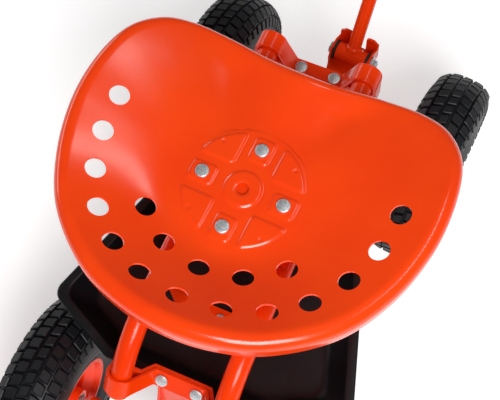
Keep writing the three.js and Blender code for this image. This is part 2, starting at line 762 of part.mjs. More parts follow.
// ---------------------------------------------------------------- tool tray and hangers
// Corners of the tray's rim seen from above, anticlockwise from the front left.
const TRAY_CORNERS = [
  [95, 112],
  [-144, 186],
  [-188, 95],
  [-188, -95],
  [-144, -186],
  [95, -112],
];
const TRAY_CORNER_RADIUS = 16;
const HANGER_X = { front: 40, rear: -90 };
const HANGER_HALF_WIDTH = 12.5;
const HANGER_THICK = 3;

// The tray outline moved in by a distance, with rounded corners, at one height.
function trayRing(inset, z) {
  const corners = TRAY_CORNERS.map(([x, y]) => new THREE.Vector2(x, y));
  const count = corners.length;
  const edgeLine = (i) => {
    const along = corners[(i + 1) % count].clone().sub(corners[i]).normalize();
    const inward = new THREE.Vector2(-along.y, along.x);
    return { start: corners[i].clone().addScaledVector(inward, inset), along };
  };
  const ring = [];
  for (let i = 0; i < count; i++) {
    const before = edgeLine((i + count - 1) % count);
    const after = edgeLine(i);
    const apart = after.start.clone().sub(before.start);
    const cross = before.along.cross(after.along);
    const corner = before.start.clone().addScaledVector(before.along, apart.cross(after.along) / cross);
    const turn = before.along.angleTo(after.along);
    const reach = TRAY_CORNER_RADIUS * Math.tan(turn / 2);
    const start = corner.clone().addScaledVector(before.along, -reach);
    const normal = new THREE.Vector2(-before.along.y, before.along.x);
    const centre = start.clone().addScaledVector(normal, TRAY_CORNER_RADIUS);
    for (const share of [0, 1 / 3, 2 / 3, 1]) {
      const point = start.clone().rotateAround(centre, turn * share);
      ring.push(new THREE.Vector3(point.x, point.y, z));
    }
  }
  return ring;
}

function tray() {
  const floor = TRAY_RIM_Z - TRAY_DEPTH;
  const wallTop = TRAY_RIM_Z - TRAY_WALL;
  const body = stackedRings([
    trayRing(TRAY_DRAFT + TRAY_FLANGE, floor),
    trayRing(TRAY_FLANGE, wallTop),
    trayRing(TRAY_WALL, wallTop),
    trayRing(TRAY_WALL, wallTop - 5),
    trayRing(0, wallTop - 5),
    trayRing(0, TRAY_RIM_Z),
    trayRing(TRAY_FLANGE + TRAY_WALL, TRAY_RIM_Z),
    trayRing(TRAY_DRAFT + TRAY_FLANGE + TRAY_WALL, floor + TRAY_WALL),
  ]);
  const cuts = Object.values(HANGER_X).map((x) =>
    bar("z", M6.hole, floor - 2, floor + TRAY_WALL + 2, x, 0, 12),
  );
  return weld([body], cuts);
}

// A flat bar folded into a hat: its brim is under the tubes and its crown holds the tray floor.
function hanger() {
  const brimTop = TUBE_Z - TUBE_RADIUS - GAP;
  const brimBottom = brimTop - HANGER_THICK;
  const crownBottom = TRAY_RIM_Z - TRAY_DEPTH + TRAY_WALL + GAP;
  const crownTop = crownBottom + HANGER_THICK;
  const outerLeg = TUBE_Y - 11;
  const innerLeg = outerLeg - HANGER_THICK;
  const brimEnd = TUBE_Y + 10;
  const shape = new THREE.Shape();
  shape.moveTo(-brimEnd, brimBottom);
  shape.lineTo(-outerLeg, brimBottom);
  shape.lineTo(-outerLeg, crownBottom);
  shape.lineTo(outerLeg, crownBottom);
  shape.lineTo(outerLeg, brimBottom);
  shape.lineTo(brimEnd, brimBottom);
  shape.lineTo(brimEnd, brimTop);
  shape.lineTo(innerLeg, brimTop);
  shape.lineTo(innerLeg, crownTop);
  shape.lineTo(-innerLeg, crownTop);
  shape.lineTo(-innerLeg, brimTop);
  shape.lineTo(-brimEnd, brimTop);
  const hole = bar("z", M6.hole, crownBottom - 2, crownTop + 2, 0, 0, 12);
  return weld([crossPlate(shape, HANGER_HALF_WIDTH, 1)], [hole]);
}

place(cart, "tool_tray", tray(), blackPlastic());
for (const [end, x] of Object.entries(HANGER_X)) {
  place(cart, `tray_hanger_${end}`, hanger(), orangePaint()).position.x = x;
  const headSeat = TRAY_RIM_Z - TRAY_DEPTH + TRAY_WALL + HANGER_THICK + 2 * GAP;
  place(cart, `tray_screw_${end}`, bolt(M6, 14, x, 0, headSeat), zincPlate());
}

// ---------------------------------------------------------------- steering knuckles
const KNUCKLE_HALF = 16;
const KNUCKLE_EAR_HALF = 13;
const LOWER_EAR_TOP = SLEEVE_BOTTOM_Z - 0.5;

function knuckle() {
  const x = FRONT_AXLE_X;
  const half = KNUCKLE_EAR_HALF;
  const topEar = [TOP_EAR_Z, TOP_EAR_Z + KNUCKLE_THICK];
  const lowEar = [LOWER_EAR_TOP - KNUCKLE_THICK, LOWER_EAR_TOP];
  const outerFace = KNUCKLE_PLATE_Y + KNUCKLE_THICK;
  const hubStart = FRONT_WHEEL_Y - HUB_HALF;
  const hubEnd = FRONT_WHEEL_Y + HUB_HALF;
  const parts = [];
  for (const [z0, z1] of [topEar, lowEar]) {
    parts.push(block(x - half, x + half, KINGPIN_Y, KNUCKLE_PLATE_Y + 1, z0, z1));
    parts.push(bar("z", half, z0, z1, x, KINGPIN_Y, 20));
  }
  const armHalf = 9;
  parts.push(block(x, x + STEER_ARM, KINGPIN_Y - armHalf, KINGPIN_Y + armHalf, ...topEar));
  parts.push(bar("z", armHalf, ...topEar, x + STEER_ARM, KINGPIN_Y, 16));
  const plateBottom = AXLE_Z - KNUCKLE_HALF;
  parts.push(
    block(x - KNUCKLE_HALF, x + KNUCKLE_HALF, KNUCKLE_PLATE_Y, outerFace, plateBottom, topEar[1]),
  );
  parts.push(bar("y", AXLE_RADIUS + 4, outerFace - 1, hubStart - 0.5, x, AXLE_Z, 16));
  parts.push(bar("y", AXLE_RADIUS, outerFace - 1, hubEnd + 1, x, AXLE_Z, 16));
  parts.push(bar("y", THREAD_RADIUS, hubEnd, hubEnd + 12, x, AXLE_Z, 16));
  const cuts = [
    bar("z", KINGPIN_RADIUS + GAP, lowEar[0] - 1, topEar[1] + 1, x, KINGPIN_Y, 16),
    bar("z", M8.shank + GAP, topEar[0] - 1, topEar[1] + 1, x + STEER_ARM, KINGPIN_Y, 12),
  ];
  return weld(parts, cuts);
}

// A pin with a low head and a riveted lower end, which holds both ears of a knuckle.
function kingpin(top, bottom) {
  const headRadius = KINGPIN_RADIUS + 4;
  const profile = [
    [0, bottom - 6],
    [headRadius - 1, bottom - 6],
    [headRadius - 1, bottom],
    [KINGPIN_RADIUS, bottom],
    [KINGPIN_RADIUS, top],
    [headRadius, top],
    [headRadius, top + 4],
    [headRadius - 3, top + 6],
    [0, top + 6],
  ];
  return turnedUp(profile, FRONT_AXLE_X, 0, 0, 14);
}

// A group that stands turned about an upright axis. What it holds is placed as on the cart.
function steered(x, y) {
  const pivot = new THREE.Group();
  pivot.position.set(x, y, 0);
  pivot.rotation.z = STEER_REST;
  cart.add(pivot);
  const held = new THREE.Group();
  held.position.set(-x, -y, 0);
  pivot.add(held);
  return held;
}

const steeredSide = {
  left: steered(FRONT_AXLE_X, KINGPIN_Y),
  right: steered(FRONT_AXLE_X, -KINGPIN_Y),
};
const steeredTongue = steered(FRONT_AXLE_X, 0);

const kingpinTop = TOP_EAR_Z + KNUCKLE_THICK + 0.5;
const kingpinBottom = LOWER_EAR_TOP - KNUCKLE_THICK - 0.5;
const tongueTop = TOP_EAR_Z + PLATE_THICK;
for (const [side, sign] of [["left", 1], ["right", -1]]) {
  place(steeredSide[side], `${side}_knuckle`, knuckle().scale(1, sign, 1), orangePaint());
  const pin = kingpin(kingpinTop, kingpinBottom).translate(0, sign * KINGPIN_Y, 0);
  place(cart, `${side}_kingpin`, pin, zincPlate());
}

// ---------------------------------------------------------------- tongue with the clevis
const TONGUE_EYE = 14;
const EAR_THICK = 3;
const CLEVIS_FLOOR_TOP = CLEVIS_Z - CLEVIS_SLEEVE_RADIUS - 3;
const TAB_INNER = HANDLE_TUBE_RADIUS + 1.2;

function tongue() {
  const x = FRONT_AXLE_X;
  const outer = CLEVIS_HALF + EAR_THICK;
  const bendX = x + STEER_ARM + 13;
  const floorX = CLEVIS_X - 14;
  const frontX = CLEVIS_X + 26;
  const flatBottom = tongueTop - PLATE_THICK;
  const floorBottom = CLEVIS_FLOOR_TOP - PLATE_THICK;
  const folded = sidePlate(
    [
      [x, flatBottom],
      [bendX - 2, flatBottom],
      [floorX - 2, floorBottom],
      [frontX, floorBottom],
      [frontX, CLEVIS_FLOOR_TOP],
      [floorX, CLEVIS_FLOOR_TOP],
      [bendX, tongueTop],
      [x, tongueTop],
    ],
    outer,
  );
  const plan = new THREE.Shape([
    new THREE.Vector2(x, -TONGUE_EYE),
    new THREE.Vector2(x + 16, -TONGUE_EYE),
    new THREE.Vector2(floorX, -outer),
    new THREE.Vector2(frontX, -outer),
    new THREE.Vector2(frontX, outer),
    new THREE.Vector2(floorX, outer),
    new THREE.Vector2(x + 16, TONGUE_EYE),
    new THREE.Vector2(x, TONGUE_EYE),
  ]);
  const planSolid = new THREE.ExtrudeGeometry(plan, { depth: 120, bevelEnabled: false });
  planSolid.translate(0, 0, CLEVIS_Z - 60);
  const plate = geometryOf(solidOf(folded).intersect(solidOf(planSolid)));
  const earTop = CLEVIS_Z + CLEVIS_SLEEVE_RADIUS;
  const earOutline = [
    [floorX - 1, floorBottom + 1],
    [frontX, floorBottom + 1],
    [frontX, CLEVIS_Z],
    [CLEVIS_X + 8, earTop],
    [CLEVIS_X - 8, earTop],
    [floorX - 1, CLEVIS_Z - 2],
  ];
  const ears = [-1, 1].map((side) =>
    sidePlate(earOutline, EAR_THICK / 2, side * (CLEVIS_HALF + EAR_THICK / 2)),
  );
  const tabs = [-1, 1].map((side) => frontTab(frontX, side));
  const eye = bar("z", TONGUE_EYE, flatBottom, tongueTop, x, 0, 20);
  const cuts = [
    bar("z", KINGPIN_RADIUS + GAP, flatBottom - 1, tongueTop + 1, x, 0, 16),
    bar("z", M8.shank + GAP, flatBottom - 1, tongueTop + 1, TIE_ROD_X, 0, 12),
    bar("y", CLEVIS_BOLT_RADIUS + GAP, -outer - 1, outer + 1, CLEVIS_X, CLEVIS_Z, 16),
  ];
  return weld([plate, eye, ...ears, ...tabs], cuts);
}

// One of the two upright tabs in front of the handle, with its outer top corner clipped.
function frontTab(frontX, side) {
  const top = CLEVIS_Z + 17;
  const outer = CLEVIS_HALF + EAR_THICK;
  const clip = 7;
  const shape = new THREE.Shape([
    new THREE.Vector2(side * TAB_INNER, CLEVIS_FLOOR_TOP - 1),
    new THREE.Vector2(side * outer, CLEVIS_FLOOR_TOP - 1),
    new THREE.Vector2(side * outer, top - clip),
    new THREE.Vector2(side * (outer - clip), top),
    new THREE.Vector2(side * (TAB_INNER + 3), top),
    new THREE.Vector2(side * TAB_INNER, top - 3),
  ]);
  return crossPlate(shape, EAR_THICK / 2, 1).translate(frontX - EAR_THICK / 2, 0, 0);
}

place(steeredTongue, "tongue", tongue(), orangePaint());
place(cart, "tongue_bolt", kingpin(tongueTop + 0.5, BEAM_TOP_Z - 3 - 0.5), zincPlate());

// ---------------------------------------------------------------- tie rod
const TIE_ROD_HALF_WIDTH = 8;
const TIE_ROD_THICK = 5;

function tieRod() {
  const half = TIE_ROD_HALF_WIDTH;
  const [bottom, top] = [TIE_ROD_Z, TIE_ROD_Z + TIE_ROD_THICK];
  const parts = [block(TIE_ROD_X - half, TIE_ROD_X + half, -KINGPIN_Y, KINGPIN_Y, bottom, top)];
  const cuts = [];
  for (const side of [-1, 0, 1]) {
    const y = side * KINGPIN_Y;
    if (side !== 0) parts.push(bar("z", half, bottom, top, TIE_ROD_X, y, 16));
    cuts.push(bar("z", M8.shank + GAP, bottom - 1, top + 1, TIE_ROD_X, y, 12));
  }
  return weld(parts, cuts);
}

// The rod keeps its direction and swings with the three arms.
const linkage = new THREE.Group();
const armRest = new THREE.Vector2(STEER_ARM, 0).rotateAround(new THREE.Vector2(), STEER_REST);
linkage.position.set(armRest.x - STEER_ARM, armRest.y, 0);
cart.add(linkage);
place(linkage, "tie_rod", tieRod(), orangePaint());
for (const [spot, sign] of [["left", 1], ["centre", 0], ["right", -1]]) {
  const head = TIE_ROD_Z + TIE_ROD_THICK + GAP;
  const geometry = bolt(M8, TIE_ROD_THICK + KNUCKLE_THICK + 1, TIE_ROD_X, sign * KINGPIN_Y, head);
  place(linkage, `tie_pin_${spot}`, geometry, zincPlate());
}

// ---------------------------------------------------------------- handle hinge
const EAR_OUTSIDE = CLEVIS_HALF + EAR_THICK;
const CLEVIS_NUT_HEIGHT = 9;
const CLEVIS_NUT_RADIUS = 9;

// The hinge bolt, head on the left, standing through both ears.
function clevisBolt() {
  const head = EAR_OUTSIDE + GAP;
  const end = -EAR_OUTSIDE - GAP - CLEVIS_NUT_HEIGHT + 3;
  const profile = [
    [0, end],
    [CLEVIS_BOLT_RADIUS, end],
    [CLEVIS_BOLT_RADIUS, head],
    [CLEVIS_NUT_RADIUS - 1, head],
    [CLEVIS_NUT_RADIUS - 1, head + 5],
    [CLEVIS_NUT_RADIUS - 3, head + 6.5],
    [0, head + 6.5],
  ];
  return turnedWheel(profile, 12).translate(CLEVIS_X, 0, CLEVIS_Z);
}

function clevisNut() {
  const inside = -EAR_OUTSIDE - GAP;
  const outside = inside - CLEVIS_NUT_HEIGHT;
  const dome = turnedWheel(
    [
      [0, inside],
      [CLEVIS_NUT_RADIUS + 1.5, inside],
      [CLEVIS_NUT_RADIUS + 1.5, inside - 2],
      [CLEVIS_NUT_RADIUS - 1, inside - 2],
      [CLEVIS_NUT_RADIUS - 1, outside + 2],
      [CLEVIS_NUT_RADIUS - 4, outside],
      [0, outside],
    ],
    12,
  );
  const bore = bar("y", CLEVIS_BOLT_RADIUS + GAP, outside + 2, inside + 1, 0, 0, 12);
  return weld([dome], [bore]).translate(CLEVIS_X, 0, CLEVIS_Z);
}

function clevisWasher(side) {
  const middle = side * (CLEVIS_HALF - CLEVIS_WASHER / 2 - 0.4);
  const [inner, outer] = [CLEVIS_BOLT_RADIUS + GAP, CLEVIS_SLEEVE_RADIUS + 1.5];
  const half = CLEVIS_WASHER / 2;
  const profile = [
    [inner, -half],
    [outer, -half],
    [outer, half],
    [inner, half],
    [inner, -half],
  ];
  return turnedWheel(profile, 18).translate(CLEVIS_X, middle, CLEVIS_Z);
}

place(steeredTongue, "clevis_bolt", clevisBolt(), zincPlate());
place(steeredTongue, "clevis_nut", clevisNut(), zincPlate());
place(steeredTongue, "clevis_washer_left", clevisWasher(1), softRubber());
place(steeredTongue, "clevis_washer_right", clevisWasher(-1), softRubber());

// ---------------------------------------------------------------- handle
// The handle's own frame: x runs up the tube from the hinge, y is the hinge axis.
const SLEEVE_HALF = CLEVIS_HALF - CLEVIS_WASHER - 0.8;
const COLLAR_RADIUS = 13;
const COLLAR_LENGTH = 26;
const KNOB_SCREW_RADIUS = 3;
const EXTENSION_RADIUS = HANDLE_TUBE_BORE - GAP;

const handle = new THREE.Group();
handle.position.set(CLEVIS_X, 0, CLEVIS_Z);
handle.rotation.y = -HANDLE_ANGLE;
steeredTongue.add(handle);

function handleTube() {
  const collarX = HANDLE_TUBE_LENGTH - COLLAR_LENGTH;
  const parts = [
    bar("y", CLEVIS_SLEEVE_RADIUS, -SLEEVE_HALF, SLEEVE_HALF, 0, 0, 20),
    bar("x", HANDLE_TUBE_RADIUS, 6, HANDLE_TUBE_LENGTH, 0, 0, 16),
    bar("x", COLLAR_RADIUS, collarX, HANDLE_TUBE_LENGTH + 2, 0, 0, 16),
  ];
  const cuts = [
    bar("y", CLEVIS_BOLT_RADIUS + GAP, -SLEEVE_HALF - 1, SLEEVE_HALF + 1, 0, 0, 16),
    bar("x", HANDLE_TUBE_BORE, CLEVIS_SLEEVE_RADIUS + 4, HANDLE_TUBE_LENGTH + 3, 0, 0, 16),
    bar("z", KNOB_SCREW_RADIUS + GAP, 0, COLLAR_RADIUS + 2, collarX + COLLAR_LENGTH / 2, 0, 10),
  ];
  return weld(parts, cuts);
}

function handleExtension() {
  const start = HANDLE_TUBE_LENGTH - HANDLE_OVERLAP;
  const wall = 1.5;
  const tube = bar("x", EXTENSION_RADIUS, start, HANDLE_LENGTH, 0, 0, 16);
  const bore = bar("x", EXTENSION_RADIUS - wall, start - 1, HANDLE_LENGTH - 12, 0, 0, 12);
  const cross = bar("y", HANDLE_TUBE_RADIUS, -CROSS_BAR_HALF, CROSS_BAR_HALF, HANDLE_LENGTH, 0, 16);
  return weld([tube, cross], [bore]);
}

// A blind rubber sleeve pushed over one end of the cross bar.
function grip(side) {
  const bore = HANDLE_TUBE_RADIUS + GAP;
  const outer = HANDLE_TUBE_RADIUS + 4.5;
  const cap = 3;
  const profile = [
    [bore, 0],
    [outer, 0],
    [outer, GRIP_LENGTH - 2],
    [outer - 3, GRIP_LENGTH + cap],
    [0, GRIP_LENGTH + cap],
    [0, GRIP_LENGTH + GAP],
    [bore, GRIP_LENGTH + GAP],
    [bore, 0],
  ];
  const sleeve = turnedWheel(profile, 16).translate(HANDLE_LENGTH, CROSS_BAR_HALF - GRIP_LENGTH, 0);
  return side > 0 ? sleeve : sleeve.scale(1, -1, 1);
}

function clampKnob() {
  const tip = EXTENSION_RADIUS + GAP;
  const under = COLLAR_RADIUS + 2;
  const profile = [
    [0, tip],
    [KNOB_SCREW_RADIUS, tip],
    [KNOB_SCREW_RADIUS, under],
    [8, under],
    [12, under + 3],
    [12, under + 10],
    [9, under + 12],
    [0, under + 12],
  ];
  return turnedUp(profile, HANDLE_TUBE_LENGTH - COLLAR_LENGTH / 2, 0, 0, 14);
}

place(handle, "handle_tube", handleTube(), orangePaint());
place(handle, "handle_extension", handleExtension(), orangePaint());
place(handle, "grip_left", grip(1), softRubber());
place(handle, "grip_right", grip(-1), softRubber());
place(handle, "clamp_knob", clampKnob(), blackPlastic());

// ---------------------------------------------------------------- wheels
// Profiles of [radius, y] from the inner to the outer side of the wheel.
const BEAD_RADIUS = RIM_RADIUS - 6.5;
const BEAD_HALF = 26;
const WELL_RADIUS = RIM_RADIUS - 13;
const RIM_SHEET = 4;
const HUB_RADIUS = 16;
const BUSH_OUTER = 11;

// A profile given for the outer half of the wheel, completed with its mirror image.
function bothSides(rows) {
  return [...rows.map(([r, y]) => [r, -y]), ...rows.slice().reverse()];
}

function tyre() {
  const half = TYRE_WIDTH / 2;
  const tread = 8;
  const waist = (WHEEL_RADIUS + RIM_RADIUS) / 2;
  const bead = BEAD_RADIUS + 0.5;
  const outside = [
    [bead, BEAD_HALF],
    [RIM_RADIUS + 1.5, BEAD_HALF + 4.5],
    [waist, half],
    [WHEEL_RADIUS - 9, half - 6],
    [WHEEL_RADIUS, 0.35 * half],
  ];
  const inside = [
    [bead, BEAD_HALF - 6],
    [waist, half - 6],
    [WHEEL_RADIUS - tread, 0.35 * half],
  ];
  const loop = [...bothSides(outside), ...bothSides(inside).reverse()];
  return turnedWheel([...loop, loop[0]], 24);
}

function rim() {
  const barrel = WELL_RADIUS - RIM_SHEET;
  const bore = BUSH_OUTER + GAP;
  const loop = [
    ...bothSides([
      [RIM_RADIUS, BEAD_HALF + 5],
      [BEAD_RADIUS, BEAD_HALF + 1],
      [BEAD_RADIUS, BEAD_HALF - 6],
      [WELL_RADIUS, BEAD_HALF - 14],
    ]),
    [RIM_RADIUS - RIM_SHEET, BEAD_HALF + 5],
    [barrel, BEAD_HALF - 13],
    [barrel, RIM_SHEET / 2],
    [HUB_RADIUS, RIM_SHEET / 2],
    [HUB_RADIUS, HUB_HALF],
    [bore, HUB_HALF],
    [bore, -HUB_HALF],
    [HUB_RADIUS, -HUB_HALF],
    [HUB_RADIUS, -RIM_SHEET / 2],
    [barrel, -RIM_SHEET / 2],
    [barrel, 13 - BEAD_HALF],
    [RIM_RADIUS - RIM_SHEET, -BEAD_HALF - 5],
  ];
  return turnedWheel([...loop, loop[0]], 16);
}

function hubBush() {
  const inner = AXLE_RADIUS + 2 * GAP;
  const profile = [
    [inner, -HUB_HALF],
    [BUSH_OUTER, -HUB_HALF],
    [BUSH_OUTER, HUB_HALF],
    [inner, HUB_HALF],
    [inner, -HUB_HALF],
  ];
  return turnedWheel(profile, 16);
}

// A domed nut with its own washer face, blind on the outside.
function axleNut() {
  const base = HUB_HALF + 1 + GAP;
  const dome = turnedWheel(
    [
      [0, base],
      [15, base],
      [15, base + 2],
      [10.5, base + 2],
      [10.5, base + 9],
      [6, base + 14],
      [0, base + 15],
    ],
    12,
  );
  return weld([dome], [bar("y", THREAD_RADIUS + GAP, base - 1, base + 12.5, 0, 0, 12)]);
}

for (const [end, x, reach] of [
  ["front", FRONT_AXLE_X, FRONT_WHEEL_Y],
  ["rear", REAR_AXLE_X, REAR_WHEEL_Y],
]) {
  for (const [side, sign] of [["left", 1], ["right", -1]]) {
    const wheel = new THREE.Group();
    wheel.position.set(x, sign * reach, AXLE_Z);
    (end === "front" ? steeredSide[side] : cart).add(wheel);
    place(wheel, `${end}_${side}_tyre`, tyre().scale(1, sign, 1), tyreRubber());
    place(wheel, `${end}_${side}_rim`, rim().scale(1, sign, 1), orangePaint());
    place(wheel, `${end}_${side}_bush`, hubBush(), blackPlastic());
    place(wheel, `${end}_${side}_axle_nut`, axleNut().scale(1, sign, 1), zincPlate());
  }
}

// ---------------------------------------------------------------- origin
// The cart's origin is on the ground, under the middle of its bounding box.
const bounds = new THREE.Box3().setFromObject(cart);
const middle = bounds.getCenter(new THREE.Vector3());
for (const piece of cart.children) piece.position.x -= middle.x;

export default cart;
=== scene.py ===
# Rolling garden work seat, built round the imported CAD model.
# Metres in the frame's own axes: +X forward, +Y the rider's left, +Z up, ground at z = 0.
import math

import bmesh
import bpy
from mathutils import Matrix, Vector


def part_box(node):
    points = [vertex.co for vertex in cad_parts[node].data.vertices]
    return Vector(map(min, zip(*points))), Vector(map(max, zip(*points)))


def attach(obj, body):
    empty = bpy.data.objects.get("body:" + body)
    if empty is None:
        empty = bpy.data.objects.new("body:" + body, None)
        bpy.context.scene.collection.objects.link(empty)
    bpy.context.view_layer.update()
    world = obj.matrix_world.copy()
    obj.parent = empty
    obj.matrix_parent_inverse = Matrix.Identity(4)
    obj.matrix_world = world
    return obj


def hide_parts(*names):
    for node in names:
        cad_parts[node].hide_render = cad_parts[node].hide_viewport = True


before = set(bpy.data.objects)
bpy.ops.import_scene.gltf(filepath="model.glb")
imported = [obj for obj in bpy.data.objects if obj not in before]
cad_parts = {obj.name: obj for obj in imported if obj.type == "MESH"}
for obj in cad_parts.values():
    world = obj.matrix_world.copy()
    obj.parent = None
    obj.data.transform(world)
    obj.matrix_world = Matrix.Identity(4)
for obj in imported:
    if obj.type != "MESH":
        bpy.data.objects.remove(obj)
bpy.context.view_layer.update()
MM = 0.001


# ------------------------------------------------------------------ camera
# A long lens held above and behind the rider's right shoulder, looking steeply down on the seat.
# It is placed from the seat's swivel axis.
def middle_of(name):
    low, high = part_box(name)
    return (Vector(low) + Vector(high)) / 2


seat_axis = middle_of("seat_screw")
camera_data = bpy.data.cameras.new("camera")
camera_data.sensor_width = 36
camera_data.lens = 70.6
camera = bpy.data.objects.new("camera", camera_data)
bpy.context.scene.collection.objects.link(camera)
bpy.context.scene.camera = camera
camera_right = Vector((0.3989, -0.9160, -0.0426))
camera_ahead = Vector((0.3271, 0.1855, -0.9266))
camera_up = camera_right.cross(camera_ahead)
camera.matrix_world = Matrix.Translation((seat_axis.x - 0.3330, -0.1962, 1.3419)) @ Matrix(
    (camera_right, camera_up, -camera_ahead)
).transposed().to_4x4()


# ------------------------------------------------------------------ studio
# White sweep and three softboxes. A large one behind the camera lights everything, a low strip on
# the rider's left catches small pressed edges, and one on the right shines on the bowl's left wall.
def linear(code):
    """An sRGB hex colour as linear red, green, blue and alpha."""
    channels = [int(code[i : i + 2], 16) / 255 for i in (1, 3, 5)]
    curve = [c / 12.92 if c <= 0.04045 else ((c + 0.055) / 1.055) ** 2.4 for c in channels]
    return (*curve, 1.0)


def softbox(name, place, target, size, power, colour="#ffffff"):
    data = bpy.data.lights.new(name, "AREA")
    data.shape = "RECTANGLE"
    data.size, data.size_y = size
    data.energy = power
    data.color = linear(colour)[:3]
    lamp = bpy.data.objects.new(name, data)
    lamp.location = place
    lamp.rotation_mode = "QUATERNION"
    lamp.rotation_quaternion = (Vector(target) - Vector(place)).to_track_quat("-Z", "Y")
    bpy.context.scene.collection.objects.link(lamp)


softbox("overhead", (-1.3, -0.9, 2.1), (-0.1, 0, 0.3), (1.0, 1.0), 50)
softbox("left_strip", (0.6, 2.1, 0.95), (-0.05, 0, 0.4), (2.0, 0.5), 13)
softbox("right_softbox", (0.66, -0.8, 2.28), (-0.05, 0.1, 0.4), (1.5, 0.2), 7)

world = bpy.data.worlds.new("studio")
bpy.context.scene.world = world
world.use_nodes = True
background = world.node_tree.nodes["Background"]
background.inputs["Color"].default_value = linear("#ffffff")
background.inputs["Strength"].default_value = 0.12
bpy.context.scene.view_settings.view_transform = "Standard"


def node(tree, kind, inputs=None, **settings):
    """Adds one shader node. Inputs are values, or sockets to link from."""
    made = tree.nodes.new(kind)
    for key, value in settings.items():
        setattr(made, key, value)
    for key, value in (inputs or {}).items():
        if isinstance(value, bpy.types.NodeSocket):
            tree.links.new(value, made.inputs[key])
        else:
            made.inputs[key].default_value = value
    return made


def new_material(name):
    """An empty node material and its output node."""
    material = bpy.data.materials.new(name)
    material.use_nodes = True
    material.node_tree.nodes.clear()
    tree = material.node_tree
    return material, tree, tree.nodes.new("ShaderNodeOutputMaterial")


# The sweep is matt white paper, very slightly uneven in patches of a third of a metre. It glows a
# little, as if lit from below as well, so that it stays white round the seat.
sweep, tree, output = new_material("studio_paper")
place = node(tree, "ShaderNodeTexCoord").outputs["Object"]
uneven = node(tree, "ShaderNodeTexNoise", {"Vector": place, "Scale": 1000 / 333, "Detail": 3.0})
shade = node(
    tree,
    "ShaderNodeMix",
    {"Factor": uneven.outputs["Fac"], 6: linear("#fdfdfd"), 7: linear("#f7f7f7")},
    data_type="RGBA",
)
paper = node(
    tree,
    "ShaderNodeBsdfPrincipled",
    {
        "Base Color": shade.outputs[2],
        "Roughness": 0.9,
        "Emission Color": linear("#ffffff"),
        "Emission Strength": 0.42,
    },
)
tree.links.new(paper.outputs["BSDF"], output.inputs["Surface"])
bm = bmesh.new()
bmesh.ops.create_grid(bm, x_segments=2, y_segments=2, size=30.0)
floor_mesh = bpy.data.meshes.new("floor")
bm.to_mesh(floor_mesh)
bm.free()
floor = bpy.data.objects.new("floor", floor_mesh)
floor.data.materials.append(sweep)
bpy.context.scene.collection.objects.link(floor)


# ------------------------------------------------------------------ seat
# The seat pan is one sheet of 2 mm steel, deep drawn, its edge rolled over, punched with two rows
# of drain holes and stamped in the middle to stiffen it, then powder coated in gloss orange red.


# Powder coat flows out to a glossy skin with a faint orange peel, so highlights are bright but
# their edges waver a little. The pigment is a strong warm red that stays saturated in shade.
# The coat's shade clouds over 71 mm, its peel is 1.6 mm across and its gloss changes in specks of
# 0.4 mm and in a film of dust 10 mm across.
def powder_coat(name, shade, deep, roughness, shine=0.42):
    material, tree, output = new_material(name)
    place = node(tree, "ShaderNodeTexCoord").outputs["Object"]
    cloud = node(tree, "ShaderNodeTexNoise", {"Vector": place, "Scale": 1000 / 71, "Detail": 3.0})
    tone = node(
        tree,
        "ShaderNodeMapRange",
        {"Value": cloud.outputs["Fac"], "From Min": 0.3, "From Max": 0.7},
    )
    colour = node(
        tree,
        "ShaderNodeMix",
        {"Factor": tone.outputs["Result"], 6: linear(shade), 7: linear(deep)},
        data_type="RGBA",
    )
    peel = node(tree, "ShaderNodeTexNoise", {"Vector": place, "Scale": 1000 / 1.6, "Detail": 1.0})
    relief = node(
        tree, "ShaderNodeBump", {"Height": peel.outputs["Fac"], "Distance": 0.012 * MM}
    )
    specks = node(tree, "ShaderNodeTexNoise", {"Vector": place, "Scale": 1000 / 0.4, "Detail": 2.0})
    sparkle = node(
        tree,
        "ShaderNodeMapRange",
        {
            "Value": specks.outputs["Fac"],
            "From Min": 0.3,
            "From Max": 0.7,
            "To Min": roughness - 0.03,
            "To Max": roughness + 0.03,
        },
    )
    dust = node(
        tree,
        "ShaderNodeTexNoise",
        {"Vector": place, "Scale": 1000 / 10.5, "Detail": 5.0, "Roughness": 0.65},
    )
    film = node(
        tree,
        "ShaderNodeMapRange",
        {"Value": dust.outputs["Fac"], "From Min": 0.45, "From Max": 0.75, "To Max": 0.05},
    )
    gloss = node(
        tree,
        "ShaderNodeMath",
        {0: sparkle.outputs["Result"], 1: film.outputs["Result"]},
        operation="ADD",
    )
    coat = node(
        tree,
        "ShaderNodeBsdfPrincipled",
        {
            "Base Color": colour.outputs[2],
            "Roughness": gloss.outputs[0],
            "IOR": 1.5,
            "Specular IOR Level": shine,
            "Coat Weight": shine / 4,
            "Coat Roughness": 0.08,
            "Normal": relief.outputs["Normal"],
        },
    )
    tree.links.new(coat.outputs["BSDF"], output.inputs["Surface"])
    return material


seat_paint = powder_coat("powder_coated_steel_seat", "#fb4608", "#f63f06", 0.17)


def ring_of(points):
    """New vertices of the mesh under construction, one for each point."""
    return [bm.verts.new(point) for point in points]


def join_rings(first, second, closed=True):
    """Quads between two rings of equal length."""
    count = len(first)
    for i in range(count if closed else count - 1):
        j = (i + 1) % count
        bm.faces.new((first[i], first[j], second[j], second[i]))


